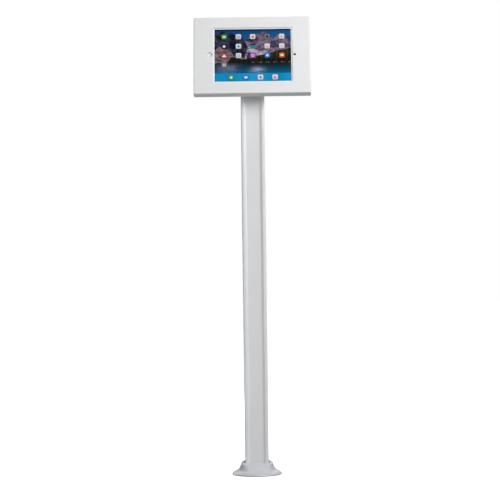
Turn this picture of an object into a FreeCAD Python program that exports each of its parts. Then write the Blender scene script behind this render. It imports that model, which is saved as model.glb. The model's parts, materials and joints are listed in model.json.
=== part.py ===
import FreeCAD, Part
import math
import os

# Customer display on a floor-fixed pole. Millimetres, +Z up, the screen faces -Y.
# The origin is on the floor, on the post's centre line.
#
# The head's pieces are drawn in a panel frame and then set in place. X runs along the panel, u runs up its
# face, and n points straight out of its face. The back of the back tray is n = 0, and the swivel's axis is
# at x = u = 0.

Vector = FreeCAD.Vector
ORIGIN = Vector(0, 0, 0)
X_AXIS = Vector(1, 0, 0)
Y_AXIS = Vector(0, 1, 0)
Z_AXIS = Vector(0, 0, 1)

# How far a cutting tool runs past the faces that it opens.
PAST = 1.0
QUARTERS = (0, 90, 180, 270)
# Distance within which an edge counts as lying on a face.
TOUCH = 0.01
PARALLEL = 1e-6

# ---- base ----
PLATE_RADIUS = 55.0
PLATE_THICKNESS = 6.0
ANCHOR_CIRCLE_RADIUS = 44.0
ANCHOR_HOLE_RADIUS = 4.5
ANCHOR_SINK_RADIUS = 8.0
PLATE_CHAMFER = 0.8
CABLE_HOLE_RADIUS = 15.0
FOOT_SCREW_HOLE_RADIUS = 3.2
FOOT_SCREW_SINK_RADIUS = 6.2
FOOT_SCREW_HEAD_RADIUS = 5.9
FOOT_SCREW_NECK_RADIUS = 3.0
FOOT_SCREW_HEAD_Z = (0.3, 3.0)
FOOT_SCREW_END_Z = 26.0
FOOT_SCREW_SOCKET_FLATS = 4.0
FOOT_SCREW_SOCKET_TOP = 1.8

# ---- post ----
POST_WIDTH = 61.0
POST_DEPTH = 57.0
POST_CORNER_RADIUS = 4.0
POST_WALL = 2.5
POST_TOP = 985.0
CHANNEL_FLANGE = 7.75
CHANNEL_SLOPE = 5.5
CHANNEL_DEPTH = 4.0
PORT_X = 24.0
PORT_Y = 21.5
PORT_RADIUS = 4.8
PORT_HOLE_RADIUS = 2.5
REAR_REBATE_WIDTH = 24.0
REAR_REBATE_DEPTH = 1.2
REAR_SLOT_WIDTH = 14.0
STRIP_GAP = 0.2
STRIP_END_GAP = 1.0
STRIP_LEG_THICKNESS = 1.4
STRIP_LEG_DEPTH = 7.0
STRIP_BARB_REACH = 0.9
STRIP_BARB_DEPTH = 5.4
STRIP_BARB_GAP = 0.3

# ---- skirt ----
SKIRT_WALL = 1.8
SKIRT_ROOF = 1.6
SKIRT_COLLAR_CORNER = 10.0
SKIRT_COLLAR_SQUARENESS = 2.5
SKIRT_SHORTEST_FLAT = 0.4
SKIRT_TOP = 32.0
# The collar's upper edge is a quarter round, which starts a little narrower than the row below it.
SKIRT_TOP_ROUNDING = 7.0
SKIRT_ROUNDING_ANGLES = (90, 67.5, 45, 22.5)
SKIRT_COLLAR_LEAN = 0.3
# Height, half width, and how far the section has turned from the collar's shape into a circle.
SKIRT_PROFILE = (
    (25.0, 41.5, 0.20),
    (18.5, 44.2, 0.42),
    (13.3, 47.6, 0.64),
    (10.7, 51.8, 0.80),
    (8.0, 58.6, 0.93),
    (5.0, 62.5, 0.98),
    (3.0, 63.9, 0.99),
    (0.0, 63.0, 0.99),
)

# ---- post head ----
YOKE_PLATE_THICKNESS = 4.0
YOKE_EAR_INNER = 14.0
YOKE_EAR_OUTER = 19.0
YOKE_EAR_RADIUS = 14.0
YOKE_CABLE_HOLE_RADIUS = 12.0
HEAD_SCREW_HOLE_RADIUS = 3.0
HEAD_SCREW_SINK_RADIUS = 5.2
HEAD_SCREW_SINK_DEPTH = 2.4
HEAD_SCREW_NECK_RADIUS = 2.8
HEAD_SCREW_RADIUS = 4.9
HEAD_SCREW_HEAD_DEPTH = (2.3, 0.1)
HEAD_SCREW_LENGTH = 14.0
HEAD_SCREW_SOCKET_FLATS = 3.0
HEAD_SCREW_SOCKET_DEPTH = 1.5
PORT_SCREW_RADIUS = 2.4
GROMMET_LIP_RADIUS = 13.5
GROMMET_LIP_HEIGHT = 1.5
GROMMET_BORE_RADIUS = 9.5

# ---- tilt joint ----
TILT_DEGREES = 17.5
PIVOT_HEIGHT = 1008.0
PIVOT_TO_TRAY = 31.3
PIVOT_TO_SWIVEL = 57.8
PIVOT_BOLT_RADIUS = 4.0
RUNNING_CLEARANCE = 0.05
BOLT_HEAD_FLATS = 13.0
BOLT_HEAD_HEIGHT = 5.3
BOLT_END_LENGTH = 9.0
TILT_NUT_HEIGHT = 6.5
TILT_NUT_COLLAR_RADIUS = 5.6
TILT_NUT_COLLAR_TOP = 8.0
TILT_WASHER_THICKNESS = 1.6
TILT_WASHER_RADIUS = 8.0
FRICTION_WASHER_RADIUS = 11.0
FRICTION_WASHER_GAP = 0.3
WASHER_BORE_GAP = 0.2
BRACKET_EAR_INNER = 20.5
BRACKET_EAR_OUTER = 23.5
BRACKET_EAR_RADIUS = 12.0
BRACKET_FRONT_N = -2.0
BRACKET_BACK_N = -5.0
BRACKET_DISC_RADIUS = 30.0
BRACKET_EAR_RISE = 32.0

# ---- swivel joint ----
HUB_RADIUS = 11.0
HUB_BORE_RADIUS = 8.0
HUB_FLANGE_RADIUS = 19.5
HUB_FLANGE_THICKNESS = 2.5
HUB_BACK_N = -17.0
HUB_SCREW_CIRCLE_RADIUS = 15.2
HUB_SCREW_RADIUS = 1.9
HUB_SCREW_BACK_N = 0.1
HUB_SCREW_TRAY_HOLE_RADIUS = 1.95
HUB_SCREW_FLANGE_HOLE_RADIUS = 2.1
HUB_SCREW_HEAD_RADII = (3.6, 2.6)
HUB_SCREW_HEAD_HEIGHT = 2.2
HUB_SCREW_SOCKET_FLATS = 2.5
HUB_SCREW_SOCKET_BOTTOM = 0.8
SWIVEL_WASHER_RADIUS = 18.0
SWIVEL_WASHER_THICKNESS = 1.2
SWIVEL_WASHER_GAP = 0.3
SPRING_OUTER_RADII = (13.5, 17.0)
SPRING_INNER_RADII = (11.6, 15.1)
SPRING_HEIGHT = 2.4
SWIVEL_NUT_FLATS = 30.0
SWIVEL_NUT_THICKNESS = 6.0
STOP_PIN_CIRCLE_RADIUS = 24.0
STOP_PIN_RADIUS = 2.0
STOP_PIN_HEAD_RADIUS = 3.2
STOP_PIN_HEAD_HEIGHT = 1.2
STOP_PIN_PAST_BRACKET = 1.5
STOP_SLOT_GAP = 0.5
STOP_PIN_START_DEGREES = 45.0
SWIVEL_TRAVEL_DEGREES = 90.0

# ---- enclosure ----
CASE_WIDTH = 300.0
CASE_HEIGHT = 216.0
CASE_DEPTH = 21.0
CASE_EDGE_RADIUS = 2.5
SHEET = 1.5
TRAY_GAP = 1.0
TRAY_FLANGE_N = 9.0
LOCK_NOTCH_DEPTH = 4.0
LOCK_NOTCH_HALF_WIDTH = 14.0
VENT_COUNT = 7
VENT_PITCH = 16.0
VENT_RADIUS = 2.0
VENT_ROW_U = 78.0
VENT_HALF_LENGTH = 9.0
WINDOW_WIDTH = 204.0
WINDOW_HEIGHT = 154.6
WINDOW_CORNER = 1.5
HOME_HOLE_RADIUS = 7.75
CAMERA_HOLE_RADIUS = 3.4
HINGE_X = -147.0
HINGE_N = 3.0
HINGE_HALF_LENGTH = 95.0
KNUCKLE_RADIUS = 3.0
HINGE_PIN_RADIUS = 1.25
KNUCKLE_COUNT = 7
KNUCKLE_GAP = 0.3
LEAF_THICKNESS = 1.2
LEAF_END_X = 19.0
LEAF_STRAP_START_X = 2.0
LEAF_CLEARANCE = 1.0
COVER_LEAF_GAP = 0.8
COVER_LEAF_FRONT_N = 17.0
COVER_STRAP_N = (1.5, 10.0)
RIVET_OFFSET_X = 13.0
RIVET_HOLE_RADIUS = 1.6
RIVET_RADIUS = 1.55
RIVET_HEAD_RADII = (2.8, 1.8)
RIVET_HEAD_HEIGHT = 1.0
RIVET_HEIGHTS = (-78.0, -39.0, 0.0, 39.0, 78.0)

# ---- lock ----
LOCK_X = 134.0
LOCK_BODY_RADIUS = 8.0
LOCK_PLUG_RADIUS = 5.0
LOCK_BODY_LENGTH = 3.5
LOCK_FLANGE_RADII = (10.0, 11.0)
LOCK_FLANGE_THICKNESS = 2.5
LOCK_NUT_FLATS = 20.0
LOCK_NUT_THICKNESS = 3.2
PLUG_BACK_N = -2.9
PLUG_STUB_START = 0.5
PLUG_STUB_HALF = 2.5
PLUG_SCREW_HOLE_RADIUS = 1.25
PLUG_SCREW_HOLE_DEPTH = 4.0
KEYWAY_HALF = (0.7, 3.2)
KEYWAY_N = (-4.0, 4.0)
CAM_N = 9.0
CAM_THICKNESS = 2.0
CAM_REACH = 12.5
CAM_HALF_WIDTH = 4.5
CAM_HUB_RADIUS = 6.0
CAM_SCREW_RADIUS = 1.2
CAM_SCREW_LENGTH = 3.8
CAM_SCREW_HEAD_RADII = (3.8, 2.8)
CAM_SCREW_HEAD_HEIGHT = 2.0
CAM_SCREW_SLOT_HALF_WIDTH = 0.4
LATCH_WEB_THICKNESS = 1.2
LATCH_N = (5.5, 17.0)
LATCH_TONGUE_THICKNESS = 1.5
LATCH_TONGUE_START = 8.5
LATCH_HALF_HEIGHT = 10.0

# ---- tablet ----
TABLET_X = 2.5
TABLET_WIDTH = 240.0
TABLET_HEIGHT = 169.5
TABLET_CORNER = 12.0
TABLET_BACK_N = 11.2
TABLET_GLASS_N = 17.9
TABLET_FRONT_N = 18.7
SCREEN_WIDTH = 197.1
SCREEN_HEIGHT = 147.8
HOME_BUTTON_X = TABLET_X - 111.0
HOME_BUTTON_RADIUS = 5.5
CAMERA_X = TABLET_X + 107.5
CAMERA_RADIUS = 3.3
BUTTON_GAP = 0.35
BUTTON_THICKNESS = 1.6
BUTTON_SUNK = 0.1
BUTTON_DISH_RADIUS = 40.0
BUTTON_DISH_DEPTH = 0.3
BUTTON_POCKET_GAP = 0.6
BUTTON_POCKET_FLOOR = 3.0
GLASS_INSET = 0.5
DISPLAY_THICKNESS = 2.2
TABLET_REAR_RADIUS = 3.0
TABLET_SHELL = 1.0
TABLET_HOLLOW_HALF = (106.0, 77.0)
TABLET_PORT_N = 14.8
TABLET_PORT_HEIGHT = 2.6
TABLET_PORT_LENGTH = 9.0
TABLET_PORT_DEPTH = 7.0
BATTERY_X = (-70.0, 60.0)
BATTERY_HALF_HEIGHT = 62.0
BATTERY_THICKNESS = 3.4
BATTERY_CORNER = 2.0
BOARD_X = (66.0, 100.0)
BOARD_HALF_HEIGHT = 70.0
BOARD_THICKNESS = 2.0
KEY_GAP = 0.35
KEY_SIDE_GAP = 0.2
KEY_N = (13.4, 16.2)
KEY_STANDS_OUT = 0.6
KEY_REACHES_IN = 1.6
KEY_EDGE_RADIUS = 0.5
POWER_KEY_U = (-70.0, -60.0)
VOLUME_UP_KEY_X = (93.0, 102.0)
VOLUME_DOWN_KEY_X = (81.0, 90.0)

# ---- foam ----
BACK_PAD_CENTRE = (85.0, 55.0)
BACK_PAD_HALF = (25.0, 17.0)
EDGE_PAD_FRONT_GAP = 1.5
EDGE_PAD_CENTRES_X = (-70.0, 45.0)
EDGE_PAD_HALF_WIDTH = 18.0
SIDE_PAD_CENTRE_U = 45.0
SIDE_PAD_HALF_HEIGHT = 14.0
SIDE_PAD_DEPTHS = (9.0, 13.0)


# ---- helpers ----
def box(low, high):
    """Axis-aligned box between two corners."""
    size = [high[i] - low[i] for i in range(3)]
    return Part.makeBox(size[0], size[1], size[2], Vector(*low))


def disc(radius, z0, z1, x=0.0, y=0.0):
    """Upright cylinder from height z0 to z1."""
    return Part.makeCylinder(radius, z1 - z0, Vector(x, y, z0), Z_AXIS)


def cone(radius0, radius1, z0, z1, x=0.0, y=0.0):
    """Upright cone from radius0 at z0 to radius1 at z1."""
    return Part.makeCone(radius0, radius1, z1 - z0, Vector(x, y, z0), Z_AXIS)


def cross_rod(radius, x0, x1, y, z):
    """Cylinder that lies along X."""
    return Part.makeCylinder(radius, x1 - x0, Vector(x0, y, z), X_AXIS)


def prism(points, extrusion):
    """Extrude a closed polygon."""
    closed = points + [points[0]]
    return Part.Face(Part.makePolygon(closed)).extrude(extrusion)


def hexagon(across_flats, z0, z1, x=0.0, y=0.0):
    """Upright hexagonal prism."""
    radius = across_flats / math.sqrt(3.0)
    corners = []
    for step in range(6):
        angle = math.radians(60.0 * step)
        corners.append(Vector(x + radius * math.cos(angle), y + radius * math.sin(angle), z0))
    return prism(corners, Vector(0, 0, z1 - z0))


def edges_along(shape, axis):
    """Straight edges that run along one direction."""
    chosen = []
    for edge in shape.Edges:
        if edge.Curve.TypeId != "Part::GeomLine":
            continue
        if edge.tangentAt(edge.FirstParameter).cross(axis).Length < PARALLEL:
            chosen.append(edge)
    return chosen


def polar(radius, degrees):
    """Point on a circle, as a pair."""
    angle = math.radians(degrees)
    return radius * math.cos(angle), radius * math.sin(angle)


def four_corners(x, y):
    """The four mirrored positions of one point."""
    return [(sx * x, sy * y) for sx in (-1, 1) for sy in (-1, 1)]


def fuse_all(shapes):
    """Join several solids into one clean solid."""
    joined = shapes[0].multiFuse(shapes[1:])
    return joined.removeSplitter()


def cut_all(shape, tools):
    """Cut several tools out of one shape."""
    return shape.cut(Part.makeCompound(tools)).removeSplitter()


def grown(span, amount):
    """A range made longer at both ends."""
    return span[0] - amount, span[1] + amount


# In the panel frame before placing, x is X, u is Z, and n is -Y.
def panel_box(x, n, u):
    """Box in the panel frame from three (low, high) ranges."""
    return box((x[0], -n[1], u[0]), (x[1], -n[0], u[1]))


def panel_disc(radius, n, x=0.0, u=0.0):
    """Cylinder along the panel's normal, over a range of n."""
    return Part.makeCylinder(radius, n[1] - n[0], Vector(x, -n[0], u), -Y_AXIS)


def panel_cone(radius0, radius1, n, x=0.0, u=0.0):
    """Cone along the panel's normal, from radius0 at the lower n to radius1 at the higher n."""
    return Part.makeCone(radius0, radius1, n[1] - n[0], Vector(x, -n[0], u), -Y_AXIS)


def panel_ring(outer, inner, n, x=0.0, u=0.0):
    """Flat ring along the panel's normal."""
    return panel_disc(outer, n, x, u).cut(panel_disc(inner, n, x, u))


def panel_rod(radius, x, n, u):
    """Cylinder that runs up the panel, over a range of u."""
    return Part.makeCylinder(radius, u[1] - u[0], Vector(x, -n, u[0]), Z_AXIS)


def panel_hexagon(across_flats, n, x=0.0, u=0.0):
    """Hexagonal prism along the panel's normal."""
    upright = hexagon(across_flats, n[0], n[1])
    upright.rotate(ORIGIN, X_AXIS, 90)
    upright.translate(Vector(x, 0, u))
    return upright


def rounded_slab(x, n, u, corner):
    """Box in the panel frame whose four corners, seen from the front, are rounded."""
    slab = panel_box(x, n, u)
    return slab.makeFillet(corner, edges_along(slab, Y_AXIS))


def swivel_origin():
    """Place of x = u = n = 0 in the part's frame."""
    tilt = math.radians(TILT_DEGREES)
    y = -PIVOT_TO_TRAY * math.cos(tilt) + PIVOT_TO_SWIVEL * math.sin(tilt)
    z = PIVOT_HEIGHT + PIVOT_TO_TRAY * math.sin(tilt) + PIVOT_TO_SWIVEL * math.cos(tilt)
    return Vector(0, y, z)


def place_on_head(shape):
    """Lean a piece back with the panel and move it to the swivel's place."""
    placed = shape.copy()
    placed.rotate(ORIGIN, X_AXIS, -TILT_DEGREES)
    placed.translate(swivel_origin())
    return placed


# ---- base ----
def make_base_plate():
    """Round steel floor plate with countersunk anchor holes and screw holes for the post."""
    plate = disc(PLATE_RADIUS, 0, PLATE_THICKNESS)
    rim = [edge for edge in plate.Edges if edge.Curve.TypeId == "Part::GeomCircle"]
    plate = plate.makeChamfer(PLATE_CHAMFER, rim)
    half = PLATE_THICKNESS / 2
    above = PLATE_THICKNESS + PAST
    tools = [disc(CABLE_HOLE_RADIUS, -PAST, above)]
    for degrees in QUARTERS:
        x, y = polar(ANCHOR_CIRCLE_RADIUS, degrees)
        tools.append(disc(ANCHOR_HOLE_RADIUS, -PAST, above, x, y))
        tools.append(cone(ANCHOR_HOLE_RADIUS, ANCHOR_SINK_RADIUS, half, PLATE_THICKNESS, x, y))
    for x, y in four_corners(PORT_X, PORT_Y):
        tools.append(disc(FOOT_SCREW_HOLE_RADIUS, -PAST, above, x, y))
        tools.append(cone(FOOT_SCREW_SINK_RADIUS, FOOT_SCREW_HOLE_RADIUS, 0, half, x, y))
    return cut_all(plate, tools)


def make_post_foot_screws():
    """Countersunk screws that come up through the plate into the post's screw ports."""
    screws = []
    for x, y in four_corners(PORT_X, PORT_Y):
        head = cone(FOOT_SCREW_HEAD_RADIUS, FOOT_SCREW_NECK_RADIUS, *FOOT_SCREW_HEAD_Z, x, y)
        shank = disc(PORT_SCREW_RADIUS, FOOT_SCREW_HEAD_Z[1], FOOT_SCREW_END_Z, x, y)
        socket = hexagon(FOOT_SCREW_SOCKET_FLATS, 0.0, FOOT_SCREW_SOCKET_TOP, x, y)
        screws.append(head.fuse(shank).cut(socket))
    return Part.makeCompound(screws)


def channel_prism(offset):
    """The front channel as a solid, grown by an offset for the wall behind it."""
    half_width = POST_WIDTH / 2 - CHANNEL_FLANGE
    half_floor = half_width - CHANNEL_SLOPE
    front = -POST_DEPTH / 2
    slope_length = math.hypot(CHANNEL_SLOPE, CHANNEL_DEPTH)
    # Moving the slope outwards by the offset moves its foot along X by this much.
    shift = offset * (slope_length - CHANNEL_SLOPE) / CHANNEL_DEPTH
    floor_y = front + CHANNEL_DEPTH + offset
    steepness = CHANNEL_SLOPE / CHANNEL_DEPTH
    mouth_y = front - PAST
    mouth_half = half_floor + shift + steepness * (floor_y - mouth_y)
    points = [
        Vector(-mouth_half, mouth_y, 0),
        Vector(-half_floor - shift, floor_y, 0),
        Vector(half_floor + shift, floor_y, 0),
        Vector(mouth_half, mouth_y, 0),
    ]
    return prism(points, Vector(0, 0, POST_TOP))


def make_post():
    """Hollow extruded post: front channel, rear cable slot with a rebate, and four screw ports."""
    half_x = POST_WIDTH / 2
    half_y = POST_DEPTH / 2
    outer = box((-half_x, -half_y, 0), (half_x, half_y, POST_TOP))
    outer = outer.makeFillet(POST_CORNER_RADIUS, edges_along(outer, Z_AXIS))
    outer = outer.cut(channel_prism(0.0))
    inner_x = half_x - POST_WALL
    inner_y = half_y - POST_WALL
    above = POST_TOP + PAST
    hollow = box((-inner_x, -inner_y, -PAST), (inner_x, inner_y, above))
    hollow = hollow.makeFillet(POST_CORNER_RADIUS - POST_WALL, edges_along(hollow, Z_AXIS))
    hollow = hollow.cut(channel_prism(POST_WALL))
    ports = []
    port_holes = []
    for x, y in four_corners(PORT_X, PORT_Y):
        ports.append(disc(PORT_RADIUS, 0, POST_TOP, x, y))
        port_holes.append(disc(PORT_HOLE_RADIUS, -PAST, above, x, y))
    hollow = hollow.cut(Part.makeCompound(ports))
    rebate_half = REAR_REBATE_WIDTH / 2
    slot_half = REAR_SLOT_WIDTH / 2
    behind = half_y + PAST
    rebate = box((-rebate_half, half_y - REAR_REBATE_DEPTH, -PAST), (rebate_half, behind, above))
    slot = box((-slot_half, inner_y - PAST, -PAST), (slot_half, behind, above))
    below = box((-half_x - PAST, -behind, -PAST), (half_x + PAST, behind, PLATE_THICKNESS))
    return cut_all(outer, [hollow, rebate, slot, below] + port_holes)


def make_cable_cover():
    """Plastic strip that snaps into the post's rear slot."""
    back = POST_DEPTH / 2
    half = REAR_REBATE_WIDTH / 2 - STRIP_GAP
    leg_outer = REAR_SLOT_WIDTH / 2 - STRIP_GAP
    leg_inner = leg_outer - STRIP_LEG_THICKNESS
    barb_tip = leg_outer + STRIP_BARB_REACH
    barb_front = back - POST_WALL - STRIP_BARB_GAP
    z0 = PLATE_THICKNESS + STRIP_END_GAP
    z1 = POST_TOP - STRIP_END_GAP
    strip = box((-half, back - REAR_REBATE_DEPTH, z0), (half, back, z1))
    legs = []
    for side in (-1, 1):
        low, high = sorted((side * leg_outer, side * leg_inner))
        legs.append(box((low, back - STRIP_LEG_DEPTH, z0), (high, back - REAR_REBATE_DEPTH, z1)))
        low, high = sorted((side * leg_inner, side * barb_tip))
        legs.append(box((low, back - STRIP_BARB_DEPTH, z0), (high, barb_front, z1)))
    return fuse_all([strip] + legs)


def skirt_section(half_x, half_y, corner, z):
    """Rounded rectangle at one height, as eight edges that loft cleanly into a circle."""
    edges = []
    centre_x = half_x - corner
    centre_y = half_y - corner
    quarters = ((1, 1, 0), (-1, 1, 90), (-1, -1, 180), (1, -1, 270))
    starts = []
    ends = []
    for sx, sy, start in quarters:
        points = []
        for step in (0, 45, 90):
            dx, dy = polar(corner, start + step)
            points.append(Vector(sx * centre_x + dx, sy * centre_y + dy, z))
        starts.append(points[0])
        ends.append(points[2])
        edges.append(Part.Arc(points[0], points[1], points[2]).toShape())
    for index in range(4):
        line = Part.LineSegment(ends[index], starts[(index + 1) % 4]).toShape()
        edges.insert(2 * index + 1, line)
    return Part.Wire(edges)


def skirt_rows():
    """Rows of height, half widths and corner radius, from the rounded top edge down to the foot."""
    rows = []
    for angle in SKIRT_ROUNDING_ANGLES:
        inward, up = polar(SKIRT_TOP_ROUNDING, angle)
        shrink = SKIRT_TOP_ROUNDING - inward
        half_x = SKIRT_PROFILE[0][1] - SKIRT_COLLAR_LEAN - shrink
        half_y = half_x - SKIRT_COLLAR_SQUARENESS
        rows.append((SKIRT_TOP - SKIRT_TOP_ROUNDING + up, half_x, half_y, SKIRT_COLLAR_CORNER - shrink))
    for z, half_x, round_share in SKIRT_PROFILE:
        half_y = half_x - SKIRT_COLLAR_SQUARENESS * (1 - round_share)
        corner = SKIRT_COLLAR_CORNER * (1 - round_share) + (half_y - SKIRT_SHORTEST_FLAT) * round_share
        rows.append((z, half_x, half_y, corner))
    return rows


def make_skirt():
    """Moulded skirt: a round foot that rises into a squarish collar, which turns in around the post."""
    outer = []
    inner = []
    for z, half_x, half_y, corner in skirt_rows():
        outer.append(skirt_section(half_x, half_y, corner, z))
        inner_z = z - SKIRT_ROOF
        if z == SKIRT_TOP:
            inner_z = SKIRT_TOP + PAST
        inner.append(skirt_section(half_x - SKIRT_WALL, half_y - SKIRT_WALL, corner - SKIRT_WALL, inner_z))
    shell = Part.makeLoft(outer, True, False)
    return shell.cut(Part.makeLoft(inner, True, False))


# ---- post head and tilt joint ----
def make_head_yoke():
    """Cast head: a plate on the post's top with two ears that carry the tilt bolt."""
    half_x = POST_WIDTH / 2
    half_y = POST_DEPTH / 2
    plate_top = POST_TOP + YOKE_PLATE_THICKNESS
    plate = box((-half_x, -half_y, POST_TOP), (half_x, half_y, plate_top))
    plate = plate.makeFillet(POST_CORNER_RADIUS, edges_along(plate, Z_AXIS))
    pieces = [plate]
    tools = [disc(YOKE_CABLE_HOLE_RADIUS, POST_TOP - PAST, plate_top + PAST)]
    for side in (-1, 1):
        low, high = sorted((side * YOKE_EAR_INNER, side * YOKE_EAR_OUTER))
        pieces.append(box((low, -YOKE_EAR_RADIUS, POST_TOP), (high, YOKE_EAR_RADIUS, PIVOT_HEIGHT)))
        pieces.append(cross_rod(YOKE_EAR_RADIUS, low, high, 0, PIVOT_HEIGHT))
        bolt_clearance = PIVOT_BOLT_RADIUS + RUNNING_CLEARANCE
        tools.append(cross_rod(bolt_clearance, low - PAST, high + PAST, 0, PIVOT_HEIGHT))
    sink = plate_top - HEAD_SCREW_SINK_DEPTH
    for x, y in four_corners(PORT_X, PORT_Y):
        tools.append(disc(HEAD_SCREW_HOLE_RADIUS, POST_TOP - PAST, plate_top + PAST, x, y))
        tools.append(cone(HEAD_SCREW_HOLE_RADIUS, HEAD_SCREW_SINK_RADIUS, sink, plate_top, x, y))
    return cut_all(fuse_all(pieces), tools)


def make_head_screws():
    """Countersunk screws that hold the yoke in the post's screw ports."""
    top = POST_TOP + YOKE_PLATE_THICKNESS
    neck = top - HEAD_SCREW_HEAD_DEPTH[0]
    face = top - HEAD_SCREW_HEAD_DEPTH[1]
    screws = []
    for x, y in four_corners(PORT_X, PORT_Y):
        head = cone(HEAD_SCREW_NECK_RADIUS, HEAD_SCREW_RADIUS, neck, face, x, y)
        shank = disc(PORT_SCREW_RADIUS, POST_TOP - HEAD_SCREW_LENGTH, neck, x, y)
        socket = hexagon(HEAD_SCREW_SOCKET_FLATS, top - HEAD_SCREW_SOCKET_DEPTH, top, x, y)
        screws.append(head.fuse(shank).cut(socket))
    return Part.makeCompound(screws)


def make_cable_grommet():
    """Rubber ring that lines the yoke's cable hole."""
    top = POST_TOP + YOKE_PLATE_THICKNESS
    lip_top = top + GROMMET_LIP_HEIGHT
    ring = disc(YOKE_CABLE_HOLE_RADIUS, POST_TOP, top)
    lip = disc(GROMMET_LIP_RADIUS, top, lip_top)
    return ring.fuse(lip).cut(disc(GROMMET_BORE_RADIUS, POST_TOP - PAST, lip_top + PAST))


def make_tilt_bracket():
    """Bent steel bracket: a face plate for the swivel and two ears for the tilt bolt."""
    pivot_n = -PIVOT_TO_TRAY
    pivot_u = -PIVOT_TO_SWIVEL
    bottom = pivot_u - BRACKET_EAR_RADIUS
    plate_n = (BRACKET_BACK_N, BRACKET_FRONT_N)
    face = panel_box((-BRACKET_EAR_OUTER, BRACKET_EAR_OUTER), plate_n, (bottom, 0))
    pieces = [face, panel_disc(BRACKET_DISC_RADIUS, plate_n)]
    tools = []
    ear_top = pivot_u + BRACKET_EAR_RISE
    for side in (-1, 1):
        low, high = sorted((side * BRACKET_EAR_INNER, side * BRACKET_EAR_OUTER))
        outline = [
            Vector(low, -BRACKET_FRONT_N, bottom),
            Vector(low, -pivot_n, bottom),
            Vector(low, -pivot_n, pivot_u + BRACKET_EAR_RADIUS),
            Vector(low, -BRACKET_BACK_N, ear_top),
            Vector(low, -BRACKET_FRONT_N, ear_top),
        ]
        pieces.append(prism(outline, Vector(high - low, 0, 0)))
        pieces.append(cross_rod(BRACKET_EAR_RADIUS, low, high, -pivot_n, pivot_u))
        bolt_hole = PIVOT_BOLT_RADIUS + RUNNING_CLEARANCE
        tools.append(cross_rod(bolt_hole, low - PAST, high + PAST, -pivot_n, pivot_u))
    through_n = (BRACKET_BACK_N - PAST, BRACKET_FRONT_N + PAST)
    tools.append(panel_disc(HUB_RADIUS + RUNNING_CLEARANCE, through_n))
    tools.append(make_stop_slot())
    return cut_all(fuse_all(pieces), tools)


def make_stop_slot():
    """Curved slot that lets the stop pin travel a quarter turn."""
    half_width = STOP_PIN_RADIUS + STOP_SLOT_GAP
    n = (BRACKET_BACK_N - PAST, BRACKET_FRONT_N + PAST)
    ring = panel_ring(STOP_PIN_CIRCLE_RADIUS + half_width, STOP_PIN_CIRCLE_RADIUS - half_width, n)
    reach = 2 * STOP_PIN_CIRCLE_RADIUS
    start = polar(reach, STOP_PIN_START_DEGREES)
    end = polar(reach, STOP_PIN_START_DEGREES + SWIVEL_TRAVEL_DEGREES)
    wedge = prism(
        [Vector(0, -n[1], 0), Vector(start[0], -n[1], start[1]), Vector(end[0], -n[1], end[1])],
        Vector(0, n[1] - n[0], 0),
    )
    pieces = [ring.common(wedge)]
    for degrees in (STOP_PIN_START_DEGREES, STOP_PIN_START_DEGREES + SWIVEL_TRAVEL_DEGREES):
        x, u = polar(STOP_PIN_CIRCLE_RADIUS, degrees)
        pieces.append(panel_disc(half_width, n, x, u))
    return fuse_all(pieces)


def make_tilt_bolt():
    """Hexagon-head bolt that the head tilts on."""
    washer_face = BRACKET_EAR_OUTER + TILT_WASHER_THICKNESS
    end = washer_face + BOLT_END_LENGTH
    shank = cross_rod(PIVOT_BOLT_RADIUS, -washer_face, end, PIVOT_TO_TRAY, -PIVOT_TO_SWIVEL)
    head = hexagon(BOLT_HEAD_FLATS, 0, BOLT_HEAD_HEIGHT)
    head.rotate(ORIGIN, Y_AXIS, -90)
    head.translate(Vector(-washer_face, PIVOT_TO_TRAY, -PIVOT_TO_SWIVEL))
    return shank.fuse(head).removeSplitter()


def make_tilt_nut():
    """Locking nut on the tilt bolt."""
    washer_face = BRACKET_EAR_OUTER + TILT_WASHER_THICKNESS
    collar = disc(TILT_NUT_COLLAR_RADIUS, TILT_NUT_HEIGHT, TILT_NUT_COLLAR_TOP)
    nut = hexagon(BOLT_HEAD_FLATS, 0, TILT_NUT_HEIGHT).fuse(collar)
    nut = nut.cut(disc(PIVOT_BOLT_RADIUS, -PAST, TILT_NUT_COLLAR_TOP + PAST))
    nut.rotate(ORIGIN, Y_AXIS, 90)
    nut.translate(Vector(washer_face, PIVOT_TO_TRAY, -PIVOT_TO_SWIVEL))
    return nut


def washer_pair(inner_x, outer_x, radius):
    """Two rings on the tilt bolt, one on each side."""
    bore = PIVOT_BOLT_RADIUS + WASHER_BORE_GAP
    rings = []
    for side in (-1, 1):
        low, high = sorted((side * inner_x, side * outer_x))
        ring = cross_rod(radius, low, high, PIVOT_TO_TRAY, -PIVOT_TO_SWIVEL)
        bore_rod = cross_rod(bore, low - PAST, high + PAST, PIVOT_TO_TRAY, -PIVOT_TO_SWIVEL)
        rings.append(ring.cut(bore_rod))
    return Part.makeCompound(rings)


def make_tilt_washers():
    """Steel washers under the bolt's head and the nut."""
    outer_x = BRACKET_EAR_OUTER + TILT_WASHER_THICKNESS
    return washer_pair(BRACKET_EAR_OUTER, outer_x, TILT_WASHER_RADIUS)


def make_friction_washers():
    """Fibre washers between the yoke and the bracket, which hold the tilt where it is set."""
    return washer_pair(YOKE_EAR_OUTER + FRICTION_WASHER_GAP, BRACKET_EAR_INNER, FRICTION_WASHER_RADIUS)


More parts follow.
